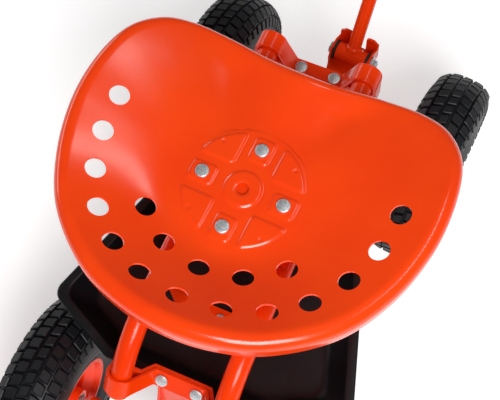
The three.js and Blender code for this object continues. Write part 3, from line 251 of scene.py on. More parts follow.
def settle(name, material, body, stands_for=(), sharp=35, bevel=0.0):
    """Closes the mesh under construction and makes a piece of it that rides on a body."""
    bmesh.ops.remove_doubles(bm, verts=bm.verts, dist=1e-6)
    bmesh.ops.recalc_face_normals(bm, faces=bm.faces)
    if bm.calc_volume(signed=True) < 0:
        bmesh.ops.reverse_faces(bm, faces=bm.faces)
    mesh = bpy.data.meshes.new(name)
    bm.to_mesh(mesh)
    bm.free()
    mesh.shade_smooth()
    mesh.set_sharp_from_angle(angle=math.radians(sharp))
    piece = bpy.data.objects.new(name, mesh)
    mesh.materials.append(material)
    bpy.context.scene.collection.objects.link(piece)
    if bevel:
        rounding = piece.modifiers.new("rounded_edges", "BEVEL")
        rounding.width = bevel
        rounding.segments = 2
        rounding.limit_method = "ANGLE"
        rounding.angle_limit = math.radians(40)
        rounding.harden_normals = True
    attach(piece, body)
    if stands_for:
        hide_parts(*stands_for)
    return piece


SHEET = 2 * MM
FIT_GAP = 0.3 * MM
CENTRE_HOLE = 6.5 * MM
BOSS_RADIUS = 21.5 * MM
STAMP_RADIUS = 63 * MM
DIMPLE_SPOT = 41 * MM
HOLLOW_DEPTH = 4.2 * MM
HOLLOW_WIDTH = 26 * MM
PAN_RADIUS = 68 * MM
ROLL_RADIUS = 12 * MM
LIP_DROP = 6 * MM  # at the level of the flat middle
LIP_GROWTH = 0.18  # and how much deeper for each metre that the rim rises
SOFT_START = 0.28  # share of the bowl over which the flat middle turns up
HEAD_HEIGHT = 3.6 * MM
BOLT_CIRCLE = 46 * MM
HOLE_RADIUS = 11 * MM
BOLT_HOLE = 4.4 * MM
# Rows of drain holes: share of the way up the bowl, spacing, and number on each side of the back.
HOLE_ROWS = ((0.73, 43.3 * MM, 6), (0.3, 44.5 * MM, 2))
seat_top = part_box("seat_plate")[1][2] + SHEET + FIT_GAP
seat_turn = math.radians(-2.5)
seat_place = Matrix.Translation((seat_axis.x, seat_axis.y, seat_top)) @ Matrix.Rotation(
    seat_turn, 4, "Z"
)
pad_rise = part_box("seat_bolt_front")[1][2] - seat_top - HEAD_HEIGHT - FIT_GAP

# Half of the rim seen from above, from the back to the front: x, y and height of the crest in mm.
RIM_HALF = (
    (-174, 0, 54),
    (-168, 50, 52),
    (-148, 101, 46),
    (-105, 153, 39),
    (-50, 185, 35),
    (10, 201, 35),
    (65, 202, 33),
    (112, 192, 26),
    (143, 168, 16),
    (156, 135, 7),
    (157, 90, 2),
    (150, 42, 6),
    (146, 0, 12),
)
rim_knots = [Vector(p) * MM for p in RIM_HALF]
rim_knots += [Vector((p[0], -p[1], p[2])) * MM for p in RIM_HALF[-2:0:-1]]


def rim_point(u):
    """A point of the rim's crest: u runs from 0 at the back once round the seat to 1."""
    place = (u % 1.0) * len(rim_knots)
    first = int(place)
    t = place - first
    a, b, c, d = (rim_knots[(first + k) % len(rim_knots)] for k in (-1, 0, 1, 2))
    straight = (c - a) * t
    square = (2 * a - 5 * b + 4 * c - d) * t * t
    cube = (3 * b - a - 3 * c + d) * t**3
    return b + (straight + square + cube) / 2


def smooth_step(value, start, end):
    share = min(max((value - start) / (end - start), 0.0), 1.0)
    return share * share * (3 - 2 * share)


def bowl_rise(w):
    """Height of the bowl between the flat middle, w = 0, and the crest, w = 1, as a share."""
    full = math.hypot(1, SOFT_START) - SOFT_START
    return (math.hypot(w, SOFT_START) - SOFT_START) / full


def stamped_height(x, y):
    """The pattern pressed up from below in the flat middle: boss, bolt pads and corner pads."""
    ax, ay = abs(x), abs(y)
    radius = math.hypot(x, y)
    edge = 1.6 * MM  # half the width of a pressed slope
    corner = 5 * MM
    boss = smooth_step(BOSS_RADIUS - radius, 0, 3.4 * MM) * 1.25
    inner = BOSS_RADIUS + corner
    fan = math.hypot(max(inner - ax, 0), max(inner - ay, 0)) - corner
    outside = radius - STAMP_RADIUS
    blend = 5 * MM
    share = max(blend - abs(fan - outside), 0) / blend
    fan = max(fan, outside) + share * share * blend / 4
    fan = smooth_step(-fan, -edge, edge) * 1.1
    along, across = max(ax, ay) - BOLT_CIRCLE, min(ax, ay)
    over = math.hypot(max(abs(along) - 9 * MM, 0), max(across - 6.5 * MM, 0)) - 4.5 * MM
    pad = smooth_step(-over, -edge, edge)
    height = max(boss, fan, pad) * pad_rise
    dimple = math.hypot(ax - DIMPLE_SPOT, ay - DIMPLE_SPOT)
    height -= 1.3 * MM * (1 - smooth_step(dimple, 0.8 * MM, 3.0 * MM))
    height -= 1.2 * MM * (1 - smooth_step(radius, 6.5 * MM, 9.5 * MM))
    return height


def front_hollow(x, y):
    """Two shallow hollows for the thighs beside the raised ridge in the middle of the front."""
    forward = smooth_step(x, 20 * MM, 120 * MM)
    side = abs(y) - (36 + 0.42 * (x / MM - 60)) * MM
    return -HOLLOW_DEPTH * forward * math.exp(-((side / HOLLOW_WIDTH) ** 2))


AROUND = 288
MIDDLE_ROWS = 44
BOWL_ROWS = 34
ROLL_ROWS = 9


def seat_profile(u):
    """The top face's section at one place of the rim, from the middle hole to the lip's edge."""
    rim = rim_point(u)
    reach = math.hypot(rim.x, rim.y)
    out = Vector((rim.x / reach, rim.y / reach))
    crest = reach - ROLL_RADIUS
    slope = math.atan2(rim.z, crest - PAN_RADIUS) * 1.04
    bowl_end = crest - ROLL_RADIUS * math.sin(slope)
    bowl_top = rim.z - ROLL_RADIUS * (1 - math.cos(slope))
    section = []
    for row in range(MIDDLE_ROWS):
        r = CENTRE_HOLE + (PAN_RADIUS - CENTRE_HOLE) * row / MIDDLE_ROWS
        section.append(Vector((out.x * r, out.y * r, stamped_height(out.x * r, out.y * r))))
    for row in range(BOWL_ROWS):
        w = row / BOWL_ROWS
        r = PAN_RADIUS + w * (bowl_end - PAN_RADIUS)
        fade = smooth_step(1 - w, 0, 0.35)
        z = bowl_top * bowl_rise(w) + fade * front_hollow(out.x * r, out.y * r)
        section.append(Vector((out.x * r, out.y * r, z)))
    for row in range(ROLL_ROWS + 1):
        turn = -slope + (math.pi / 2 + slope) * row / ROLL_ROWS
        r = crest + ROLL_RADIUS * math.sin(turn)
        z = rim.z - ROLL_RADIUS * (1 - math.cos(turn))
        section.append(Vector((out.x * r, out.y * r, z)))
    for drop in (0.5, 1.0):
        r = crest + ROLL_RADIUS
        z = rim.z - ROLL_RADIUS - drop * (LIP_DROP + LIP_GROWTH * rim.z)
        section.append(Vector((out.x * r, out.y * r, z)))
    return section


def bowl_point(u, w):
    """A place in the bowl: u round the rim, w from the flat middle, 0, to the crest, 1."""
    rim = rim_point(u)
    reach = math.hypot(rim.x, rim.y)
    r = PAN_RADIUS + w * (reach - ROLL_RADIUS - PAN_RADIUS)
    return Vector((rim.x / reach * r, rim.y / reach * r, rim.z * bowl_rise(w)))


def hole_spots(w, spacing, per_side):
    """Places of the rim, in u, of a row of holes evenly spaced out from the back."""
    spots = [0.0]
    travelled, before = 0.0, None
    for step in range(401):
        u = step / 800
        here = bowl_point(u, w)
        travelled += (here - before).length if before else 0.0
        before = here
        if travelled >= spacing * (len(spots) // 2 + 1) and len(spots) < 2 * per_side + 1:
            spots += [u, 1 - u]
    return spots


bm = bmesh.new()
sections = [seat_profile(i / AROUND) for i in range(AROUND)]
rings = [ring_of(ring) for ring in zip(*sections)]
for lower, upper in zip(rings, rings[1:]):
    join_rings(lower, upper)
bmesh.ops.recalc_face_normals(bm, faces=bm.faces)
bm.normal_update()
if sum(f.normal.z for f in bm.faces) < 0:
    bmesh.ops.reverse_faces(bm, faces=bm.faces)
bm.normal_update()
under = [[bm.verts.new(v.co - v.normal * SHEET) for v in ring] for ring in rings]
for lower, upper in zip(under, under[1:]):
    join_rings(upper, lower)
join_rings(rings[0], under[0])
join_rings(under[-1], rings[-1])
bmesh.ops.recalc_face_normals(bm, faces=bm.faces)
sheet_mesh = bpy.data.meshes.new("seat_sheet")
bm.to_mesh(sheet_mesh)
bm.free()
sheet = bpy.data.objects.new("seat_sheet", sheet_mesh)
bpy.context.scene.collection.objects.link(sheet)

bm = bmesh.new()
cutters = []
for w, spacing, per_side in HOLE_ROWS:
    for u in hole_spots(w, spacing, per_side):
        centre = bowl_point(u, w)
        across = bowl_point(u + 0.004, w) - bowl_point(u - 0.004, w)
        upright = (bowl_point(u, w + 0.02) - bowl_point(u, w - 0.02)).cross(across)
        turn = upright.normalized().to_track_quat("Z", "Y").to_matrix().to_4x4()
        cutters.append((centre, turn, HOLE_RADIUS))
for angle in range(4):
    spot = Matrix.Rotation(angle * math.pi / 2, 3, "Z") @ Vector((BOLT_CIRCLE, 0, 0))
    cutters.append((spot, Matrix.Identity(4), BOLT_HOLE))
for centre, turn, radius in cutters:
    bmesh.ops.create_cone(
        bm,
        cap_ends=True,
        segments=48,
        radius1=radius,
        radius2=radius,
        depth=30 * MM,
        matrix=Matrix.Translation(centre) @ turn,
    )
bmesh.ops.recalc_face_normals(bm, faces=bm.faces)
cutter_mesh = bpy.data.meshes.new("hole_cutters")
bm.to_mesh(cutter_mesh)
bm.free()
cutter = bpy.data.objects.new("hole_cutters", cutter_mesh)
bpy.context.scene.collection.objects.link(cutter)
punch = sheet.modifiers.new("punched_holes", "BOOLEAN")
punch.operation = "DIFFERENCE"
punch.solver = "EXACT"
punch.object = cutter
punched = bpy.data.meshes.new_from_object(
    sheet.evaluated_get(bpy.context.evaluated_depsgraph_get())
)
bpy.data.objects.remove(sheet)
bpy.data.objects.remove(cutter)
bm = bmesh.new()
bm.from_mesh(punched)
bmesh.ops.transform(bm, matrix=seat_place, verts=bm.verts)
settle("pressed_seat_pan", seat_paint, "seat", ["seat_pan"], sharp=42)


# ------------------------------------------------------------------ seat bolts
# Low round-headed steel bolts, zinc plated. The plating is bright with a cloudy, slightly
# mottled grain, so the heads look pale grey rather than like mirrors.
zinc, tree, output = new_material("zinc_plated_steel")
place = node(tree, "ShaderNodeTexCoord").outputs["Object"]
mottle = node(
    tree,
    "ShaderNodeTexNoise",
    {"Vector": place, "Scale": 1000 / 1.25, "Detail": 4.0, "Roughness": 0.7},
)
grain = node(
    tree, "ShaderNodeMapRange", {"Value": mottle.outputs["Fac"], "From Min": 0.38, "From Max": 0.62}
).outputs["Result"]
colour = node(
    tree,
    "ShaderNodeMix",
    {"Factor": grain, 6: linear("#f4f6f7"), 7: linear("#aeb4b8")},
    data_type="RGBA",
)
relief = node(tree, "ShaderNodeBump", {"Height": grain, "Distance": 0.08 * MM})
spangle = node(tree, "ShaderNodeTexVoronoi", {"Vector": place, "Scale": 1000 / 1.4})
shine = node(
    tree,
    "ShaderNodeMapRange",
    {"Value": spangle.outputs["Distance"], "From Max": 0.8, "To Min": 0.26, "To Max": 0.5},
)
plate = node(
    tree,
    "ShaderNodeBsdfPrincipled",
    {
        "Base Color": colour.outputs[2],
        "Metallic": 0.85,
        "Roughness": shine.outputs["Result"],
        "Normal": relief.outputs["Normal"],
    },
)
tree.links.new(plate.outputs["BSDF"], output.inputs["Surface"])
in_mm = Matrix.Diagonal((MM, MM, MM, 1))


def turned(profile, place, segments=48):
    """Spins a profile of (radius, height) pairs in mm round place's own Z into the mesh."""
    others = set(bm.verts)
    line = [bm.verts.new((radius, 0, height)) for radius, height in profile]
    edges = [bm.edges.new(pair) for pair in zip(line, line[1:])]
    bmesh.ops.spin(
        bm,
        geom=line + edges,
        axis=(0, 0, 1),
        cent=(0, 0, 0),
        angle=2 * math.pi,
        steps=segments,
        use_merge=True,
    )
    spun = [vert for vert in bm.verts if vert not in others]
    bmesh.ops.transform(bm, matrix=place @ in_mm, verts=spun)


def domed_head(radius, height, dome):
    """Profile of a bolt head from its underside up: rim with rounded edge, then a low dome."""
    points = [(radius - 0.3, 0), (radius, 0.4), (radius, height * 0.4)]
    for step in range(1, 5):
        turn = step * math.pi / 8
        points.append((radius - 1.2 * (1 - math.cos(turn)), height * 0.4 + 1.2 * math.sin(turn)))
    edge_radius, edge_height = points[-1]
    for step in range(1, 7):
        share = step / 6
        points.append((edge_radius * (1 - share), edge_height + dome * (1 - (1 - share) ** 2)))
    return points


SHANK = [(0, -14), (3.4, -14), (4, -13.4), (4, 0)]
for spot, angle in (("front", 0), ("left", 90), ("rear", 180), ("right", 270)):
    bm = bmesh.new()
    name = f"seat_bolt_{spot}"
    low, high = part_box(name)
    base = (Vector(low) + Vector(high)) / 2
    base.z = high[2] - HEAD_HEIGHT
    turned(SHANK + domed_head(7.5, 3.6, 0.5), Matrix.Translation(base))
    settle(f"zinc_{name}", zinc, "seat", [name])


# ------------------------------------------------------------------ frame tubes
# Two parallel 24 mm steel tubes run under the seat and bend down behind it. They are sawn square
# at both ends and share the powder coat of the rest of the frame.
frame_paint = powder_coat("powder_coated_steel_frame", "#f54006", "#ec3704", 0.2, 0.22)
TUBE_RADIUS = 12 * MM
TUBE_WALL = 1.6 * MM
BEND_RADIUS = 100 * MM
BEND_ANGLE = math.radians(50)
TAIL_LENGTH = 30 * MM
BEND_BEHIND_AXIS = 125 * MM
tube_low, tube_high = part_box("left_frame_tube")
tube_z = tube_high[2] - TUBE_RADIUS
tube_y = (tube_low[1] + tube_high[1]) / 2
bend_start = seat_axis.x - BEND_BEHIND_AXIS
tail_along = Vector((-math.cos(BEND_ANGLE), 0, -math.sin(BEND_ANGLE)))
tail_up = Vector((-math.sin(BEND_ANGLE), 0, math.cos(BEND_ANGLE)))
bend_end = Vector((bend_start, 0, tube_z - BEND_RADIUS)) + tail_up * BEND_RADIUS


def pipe(points, radius, wall, segments=48):
    """A tube with square open ends along a route, swept into the mesh under construction."""
    loops = {radius: [], radius - wall: []}
    side = Vector((0, 1, 0))
    for i, point in enumerate(points):
        before, after = points[max(i - 1, 0)], points[min(i + 1, len(points) - 1)]
        up = (after - before).normalized().cross(side).normalized()
        for r, rings in loops.items():
            rings.append(
                ring_of(
                    point + (side * math.cos(a) + up * math.sin(a)) * r
                    for a in (2 * math.pi * k / segments for k in range(segments))
                )
            )
    outer, inner = loops.values()
    for rings in (outer, inner):
        for first, second in zip(rings, rings[1:]):
            join_rings(first, second)
    join_rings(outer[0], inner[0])
    join_rings(outer[-1], inner[-1])


tube_route = [Vector((tube_high[0], 0, tube_z)), Vector((seat_axis.x, 0, tube_z))]
for step in range(25):
    turn = BEND_ANGLE * step / 24
    fall = BEND_RADIUS * (1 - math.cos(turn))
    tube_route.append(Vector((bend_start - BEND_RADIUS * math.sin(turn), 0, tube_z - fall)))
tube_route.append(tube_route[-1] + tail_along * TAIL_LENGTH)
for side_name, side in (("left", 1), ("right", -1)):
    bm = bmesh.new()
    shift = Vector((0, side * tube_y, 0))
    pipe([point + shift for point in tube_route], TUBE_RADIUS, TUBE_WALL)
    name = f"{side_name}_frame_tube"
    settle(f"bent_{name}", frame_paint, "chassis", [name])


# ------------------------------------------------------------------ straps
# Each strap is a 4 mm steel strip pressed into a hat over each tube, with a sunk flat between them
# where two bolts pull it down on the cradle below, and upright outer legs.
STRAP_THICK = 4
STRAP_HALF = 11
STRAP_LENGTH = 22 * MM
ARCH = 12 + 0.8 + STRAP_THICK / 2
STRAP_SINK = 26
STRAP_FLAT = -STRAP_SINK - STRAP_THICK / 2
STRAP_LEG = 38
FLANK_LEAN = 0.5
STRAP_BOLT_Y = 21
front_strap_x = middle_of("front_strap").x
rear_strap_spot = bend_end + tail_along * (STRAP_LENGTH / 2 + 1 * MM)
front_strap_place = Matrix.Translation((front_strap_x, 0, tube_z))
rear_strap_place = Matrix.Translation(rear_strap_spot) @ Matrix.Rotation(-BEND_ANGLE, 4, "Y")


def rounded(points, radius, steps=5):
    """A polyline through (a, b) points in mm with every inner corner turned on one radius."""
    path = [Vector(points[0])]
    for before, corner, after in zip(points, points[1:], points[2:]):
        corner = Vector(corner)
        back = (Vector(before) - corner).normalized()
        ahead = (Vector(after) - corner).normalized()
        half = back.angle(ahead) / 2
        reach = radius / math.tan(half)
        for step in range(steps + 1):
            share = step / steps
            start, end = corner + back * reach, corner + ahead * reach
            first, second = start.lerp(corner, share), corner.lerp(end, share)
            path.append(first.lerp(second, share))
    path.append(Vector(points[-1]))
    return path


def bent_strip(path, thickness, half_width, place):
    """A strip of sheet along a path of (across, up) in mm. The path is the middle of the sheet and
    the strip's width runs along place's own X."""
    rings = []
    for i, point in enumerate(path):
        before, after = path[max(i - 1, 0)], path[min(i + 1, len(path) - 1)]
        along = (after - before).normalized()
        normal = Vector((-along.y, along.x)) * thickness / 2
        corners = ((-1, 1), (1, 1), (1, -1), (-1, -1))
        rings.append(
            ring_of(
                place
                @ Vector((half_width * w, point.x + normal.x * s, point.y + normal.y * s))
                for w, s in corners
            )
        )
    for first, second in zip(rings, rings[1:]):
        join_rings(first, second)
    bm.faces.new(rings[0])
    bm.faces.new(rings[-1])


def strap_path():
    """Middle line of a strap's sheet from the right leg to the left one, as (across, up)."""
    centre = tube_y / MM
    foot = centre - ARCH + FLANK_LEAN * STRAP_FLAT
    flat = rounded([(0, STRAP_FLAT), (foot, STRAP_FLAT), (centre - ARCH - 1, -4)], 5)
    half = list(flat[:-1])
    for step in range(33):
        angle = math.pi * (1 - step / 32)
        if math.degrees(angle) < 172:
            half.append(Vector((centre + ARCH * math.cos(angle), ARCH * math.sin(angle))))
    half.append(Vector((centre + ARCH, -STRAP_LEG)))
    return [Vector((-p.x, p.y)) for p in half[:0:-1]] + half


for end, place in (("front", front_strap_place), ("rear", rear_strap_place)):
    bm = bmesh.new()
    bent_strip(strap_path(), STRAP_THICK, STRAP_HALF, place @ in_mm)
    name = f"{end}_strap"
    settle(f"saddle_{name}", frame_paint, "chassis", [name], bevel=0.8 * MM)
    for side_name, side in (("left", 1), ("right", -1)):
        bm = bmesh.new()
        spot = Matrix.Translation((0, side * STRAP_BOLT_Y * MM, FIT_GAP - STRAP_SINK * MM))
        turned(SHANK + domed_head(7.5, 3.6, 0.9), place @ spot)
        name = f"{end}_strap_bolt_{side_name}"
        settle(f"zinc_{name}", zinc, "chassis", [name])


# ------------------------------------------------------------------ tool tray
# A deep tray vacuum formed from black plastic, wide behind and narrow in front, with a rolled rim.
# Its skin has a fine leather grain that scatters light, so it looks charcoal where light grazes
# it and nearly pure black inside.
tray_plastic, tree, output = new_material("grained_black_tray_plastic")
place = node(tree, "ShaderNodeTexCoord").outputs["Object"]
hide = node(tree, "ShaderNodeTexVoronoi", {"Vector": place, "Scale": 1000 / 1.1}).outputs["Distance"]
wear = node(
    tree,
    "ShaderNodeTexNoise",
    {"Vector": place, "Scale": 1000 / 33, "Detail": 6.0, "Roughness": 0.7},
)
scuffs = node(
    tree,
    "ShaderNodeMapRange",
    {"Value": wear.outputs["Fac"], "From Min": 0.5, "From Max": 0.75, "To Max": 0.12},
).outputs["Result"]
grain = node(
    tree,
    "ShaderNodeMapRange",
    {"Value": hide, "From Max": 0.8, "To Min": 0.38, "To Max": 0.5},
)
sheen = node(tree, "ShaderNodeMath", {0: grain.outputs["Result"], 1: scuffs}, operation="ADD")
colour = node(
    tree,
    "ShaderNodeMix",
    {"Factor": scuffs, 6: linear("#05060a"), 7: linear("#0c0f16")},
    data_type="RGBA",
)
relief = node(tree, "ShaderNodeBump", {"Height": hide, "Distance": 0.06 * MM})
skin = node(
    tree,
    "ShaderNodeBsdfPrincipled",
    {
        "Base Color": colour.outputs[2],
        "Roughness": sheen.outputs[0],
        "IOR": 1.49,
        "Specular IOR Level": 0.35,
        "Normal": relief.outputs["Normal"],
    },
)
tree.links.new(skin.outputs["BSDF"], output.inputs["Surface"])
TRAY_CORNERS = ((95, 112), (-144, 186), (-188, 95), (-188, -95), (-144, -186), (95, -112))
TRAY_CORNER_RADIUS = 16
tray_low, tray_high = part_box("tool_tray")
tray_rim = tray_high[2]
tray_floor = tray_low[2]


def tray_ring(inset, z):
    """The tray's outline moved in by a distance in mm, corners rounded, at height z in metres."""
    count = len(TRAY_CORNERS)
    corners = [Vector(c) for c in TRAY_CORNERS]
    lines = []
    for i, corner in enumerate(corners):
        along = (corners[(i + 1) % count] - corner).normalized()
        lines.append((corner + Vector((-along.y, along.x)) * inset, along))
    ring = []
    for i in range(count):
        (p, a), (q, b) = lines[i - 1], lines[i]
        gap = q - p
        corner = p + a * ((gap.x * b.y - gap.y * b.x) / (a.x * b.y - a.y * b.x))
        turn = a.angle(b)
        start = corner - a * TRAY_CORNER_RADIUS * math.tan(turn / 2)
        centre = start + Vector((-a.y, a.x)) * TRAY_CORNER_RADIUS
        for step in range(9):
            spun = centre + Matrix.Rotation(turn * step / 8, 2) @ (start - centre)
            ring.append(Vector((spun.x * MM + seat_axis.x, spun.y * MM, z)))
    return ring


bm = bmesh.new()
depth = (tray_rim - tray_floor) / MM
draft = 22 / (depth - 3)
profile = [(31, 0), (31 - 2 * draft, 2)]
profile += [(9 + 4 * draft, depth - 7), (9, depth - 3.2), (6.5, depth - 3), (3.5, depth - 3)]
profile += [(3, depth - 4), (3, depth - 8)]
profile += [(1.5, depth - 8.6), (0.3, depth - 8), (0, depth - 6.5), (0, depth - 2.6)]
for step in range(1, 5):
    turn = math.pi / 2 * step / 4
    profile.append((2.6 * (1 - math.cos(turn)), depth - 2.6 * (1 - math.sin(turn))))
profile += [(9.5, depth), (10.8, depth - 0.4), (11.7, depth - 1.4), (12.2, depth - 3)]
profile += [(28.5, 11), (31.5, 5.2), (35.5, 3.6), (40, 3)]
rings = [ring_of(tray_ring(inset, tray_floor + h * MM)) for inset, h in profile]
for first, second in zip(rings, rings[1:]):
    join_rings(first, second)
bm.faces.new(rings[0])
bm.faces.new(rings[-1])
settle("formed_tool_tray", tray_plastic, "chassis", ["tool_tray"], sharp=60)


# ------------------------------------------------------------------ tyres
# Pneumatic 10 inch tyres with a block tread that wraps over the shoulders. The rubber is nearly
# black with a slight blue cast, matt, and dusty grey in the finest pores.
rubber, tree, output = new_material("moulded_tyre_rubber")
place = node(tree, "ShaderNodeTexCoord").outputs["Object"]
pores = node(
    tree, "ShaderNodeTexNoise", {"Vector": place, "Scale": 1000 / 0.7, "Detail": 3.0}
).outputs["Fac"]
matt = node(
    tree,
    "ShaderNodeMapRange",
    {"Value": pores, "From Min": 0.3, "From Max": 0.7, "To Min": 0.42, "To Max": 0.62},
)
relief = node(tree, "ShaderNodeBump", {"Height": pores, "Distance": 0.08 * MM})
dust = node(
    tree,
    "ShaderNodeTexNoise",
    {"Vector": place, "Scale": 1000 / 22, "Detail": 6.0, "Roughness": 0.65},
)
bloom = node(
    tree, "ShaderNodeMapRange", {"Value": dust.outputs["Fac"], "From Min": 0.42, "From Max": 0.75}
)
colour = node(
    tree,
    "ShaderNodeMix",
    {"Factor": bloom.outputs["Result"], 6: linear("#06070b"), 7: linear("#10131b")},
    data_type="RGBA",
)
tread_rubber = node(
    tree,
    "ShaderNodeBsdfPrincipled",
    {
        "Base Color": colour.outputs[2],
        "Roughness": matt.outputs["Result"],
        "IOR": 1.52,
        "Specular IOR Level": 0.4,
        "Normal": relief.outputs["Normal"],
    },
)
tree.links.new(tread_rubber.outputs["BSDF"], output.inputs["Surface"])
wheel_low, wheel_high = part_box("rear_left_tyre")
WHEEL_RADIUS = (wheel_high[2] - wheel_low[2]) / 2
TYRE_HALF = (wheel_high[1] - wheel_low[1]) / 2
BLOCK_HEIGHT = 4.5
wheel_spots = {
    f"{end}_{side}": middle_of(f"{end}_{side}_tyre")
    for end in ("front", "rear")
    for side in ("left", "right")
}


def crown(y):
    """Radius of the tyre's carcass in mm at a place across its width in mm."""
    share = min(abs(y) / (TYRE_HALF / MM), 1.0)
    return 92 + (WHEEL_RADIUS / MM - BLOCK_HEIGHT - 92) * (1 - share**3.2) ** 0.5


def crown_point(y, lift, angle):
    """A point above the carcass, with lift along its normal, and its angle round the wheel."""
    slope = (crown(y + 0.3) - crown(y - 0.3)) / 0.6
    size = math.hypot(1, slope)
    return crown(y) + lift / size, y - lift * slope / size, angle


def tread_block(middle, half_across, angle, half_angle, skew, height):
    """One tread block: a foot a little wider than its top, turned by a skew."""
    rings = []
    for lift, grow in ((-1.0, 1.12), (height * 0.8, 1.0), (height, 0.86)):
        ring = []
        for sy, sa in ((-1, -1), (-0.2, -1.12), (1, -1), (1, 1), (0.2, 1.12), (-1, 1)):
            y = middle + sy * half_across * grow
            turn = angle + sa * half_angle * grow + skew * sy
            r, across, turn = crown_point(y, lift, turn)
            ring.append((r, across, turn))
        rings.append(ring)
    made = [
        ring_of(
            wheel_place
            @ Vector((r * math.cos(t) * MM, across * MM, r * math.sin(t) * MM))
            for r, across, t in ring
        )
        for ring in rings
    ]
    join_rings(made[0], made[1])
    join_rings(made[1], made[2])
    bm.faces.new(made[0])
    bm.faces.new(made[2])


def carcass_profile():
    """Half section of the tyre in mm, from bead to crown on the outer side, as (radius, y)."""
    half = TYRE_HALF / MM
    section = [(52.6, 20.0), (52.6, 26.0), (55, 27.6), (60.4, 30.8), (63, 32.4), (64.2, 33.0)]
    section += [(65.0, 32.4), (66.2, 32.9), (72, 35.2), (78, 36.4)]
    section += [(79.0, 37.0), (80.4, 37.0), (81.4, 36.9), (87, 37.4), (92, half)]
    for step in range(1, 15):
        y = half * (1 - step / 14) ** 0.8 if step < 14 else 0.0
        section.append((crown(y), y))
    return section


TREAD_PITCHES = 50
pitch_angle = 2 * math.pi / TREAD_PITCHES
# Rows of blocks out from the middle: place and half width across in mm, share of a pitch out of
# step, half length as a share of a pitch, lean and height in mm.
TREAD_ROWS = (
    (0, 5.2, 0, 0.36, 0.012, BLOCK_HEIGHT),
    (14.0, 5.6, 0.5, 0.37, 0.012, BLOCK_HEIGHT),
    (26.5, 4.6, 0, 0.38, 0.008, 4.2),
    (34.6, 2.1, 0.5, 0.3, 0.0, 2.0),
)
half_profile = carcass_profile()
outline = [(r, y) for r, y in half_profile] + [(r, -y) for r, y in half_profile[-2::-1]]
lining = [(52.6, -20), (90, -31.5), (112, -22), (119, 0), (112, 22), (90, 31.5)]
to_y = Matrix.Rotation(-math.pi / 2, 4, "X")
steer_rest = Matrix.Rotation(math.radians(-5), 4, "Z")
wheel_places = {
    name: Matrix.Translation(spot) @ (steer_rest if name.startswith("front") else Matrix())
    for name, spot in wheel_spots.items()
}
for name, wheel_place in wheel_places.items():
    bm = bmesh.new()
    turned(outline + lining + [outline[0]], wheel_place @ to_y, 120)
    for pitch in range(TREAD_PITCHES):
        for across, half, step, share, lean, height in TREAD_ROWS:
            angle = (pitch + step) * pitch_angle
            for side in (-1, 1) if across else (1,):
                tread_block(side * across, half, angle, pitch_angle * share, lean * side, height)
    settle(f"block_tread_{name}_tyre", rubber, f"{name}_wheel", [f"{name}_tyre"], sharp=30)


# ------------------------------------------------------------------ rims
# Each rim is two pressed steel halves welded together round the hub, in the orange powder coat.
# Its flange is rolled back over the tyre's bead.
rim_paint = powder_coat("powder_coated_steel_rim", "#f03c08", "#e63406", 0.3, 0.3)
RIM_LOOP = (
    (11.4, 30), (16, 30), (16, 5), (20, 2), (41, 2), (42, 13), (51, 23), (54, 30.6), (55.5, 31),
    (58.6, 31), (59, 30), (53.4, 27.2), (52.5, 26), (52.5, 20), (46, 12),
)
half_rim = rounded([(r, y) for r, y in RIM_LOOP], 0.7, 3)
rim_loop = [(p.x, p.y) for p in half_rim] + [(p.x, -p.y) for p in reversed(half_rim)]
for name, wheel_place in wheel_places.items():
    bm = bmesh.new()
    turned(rim_loop + [rim_loop[0]], wheel_place @ to_y, 96)
    piece = f"pressed_{name}_rim"
    settle(piece, rim_paint, f"{name}_wheel", [f"{name}_rim"])


# ------------------------------------------------------------------ hub bushes and axle nuts
# A black nylon bush turns on each axle. A zinc plated flange nut with a closed dome holds it.
# The nylon is smooth and slightly waxy, so its shine is low and even.
nylon, tree, output = new_material("moulded_nylon_bush")
place = node(tree, "ShaderNodeTexCoord").outputs["Object"]
waxy = node(
    tree, "ShaderNodeTexNoise", {"Vector": place, "Scale": 1000 / 3.8, "Detail": 4.0}
).outputs["Fac"]
shine = node(
    tree,
    "ShaderNodeMapRange",
    {"Value": waxy, "From Min": 0.3, "From Max": 0.7, "To Min": 0.34, "To Max": 0.48},
)
colour = node(
    tree,
    "ShaderNodeMix",
    {"Factor": waxy, 6: linear("#17181a"), 7: linear("#202124")},
    data_type="RGBA",
)
relief = node(tree, "ShaderNodeBump", {"Height": waxy, "Distance": 0.02 * MM})
moulded = node(
    tree,
    "ShaderNodeBsdfPrincipled",
    {
        "Base Color": colour.outputs[2],
        "Roughness": shine.outputs["Result"],
        "IOR": 1.53,
        "Normal": relief.outputs["Normal"],
    },
)
tree.links.new(moulded.outputs["BSDF"], output.inputs["Surface"])
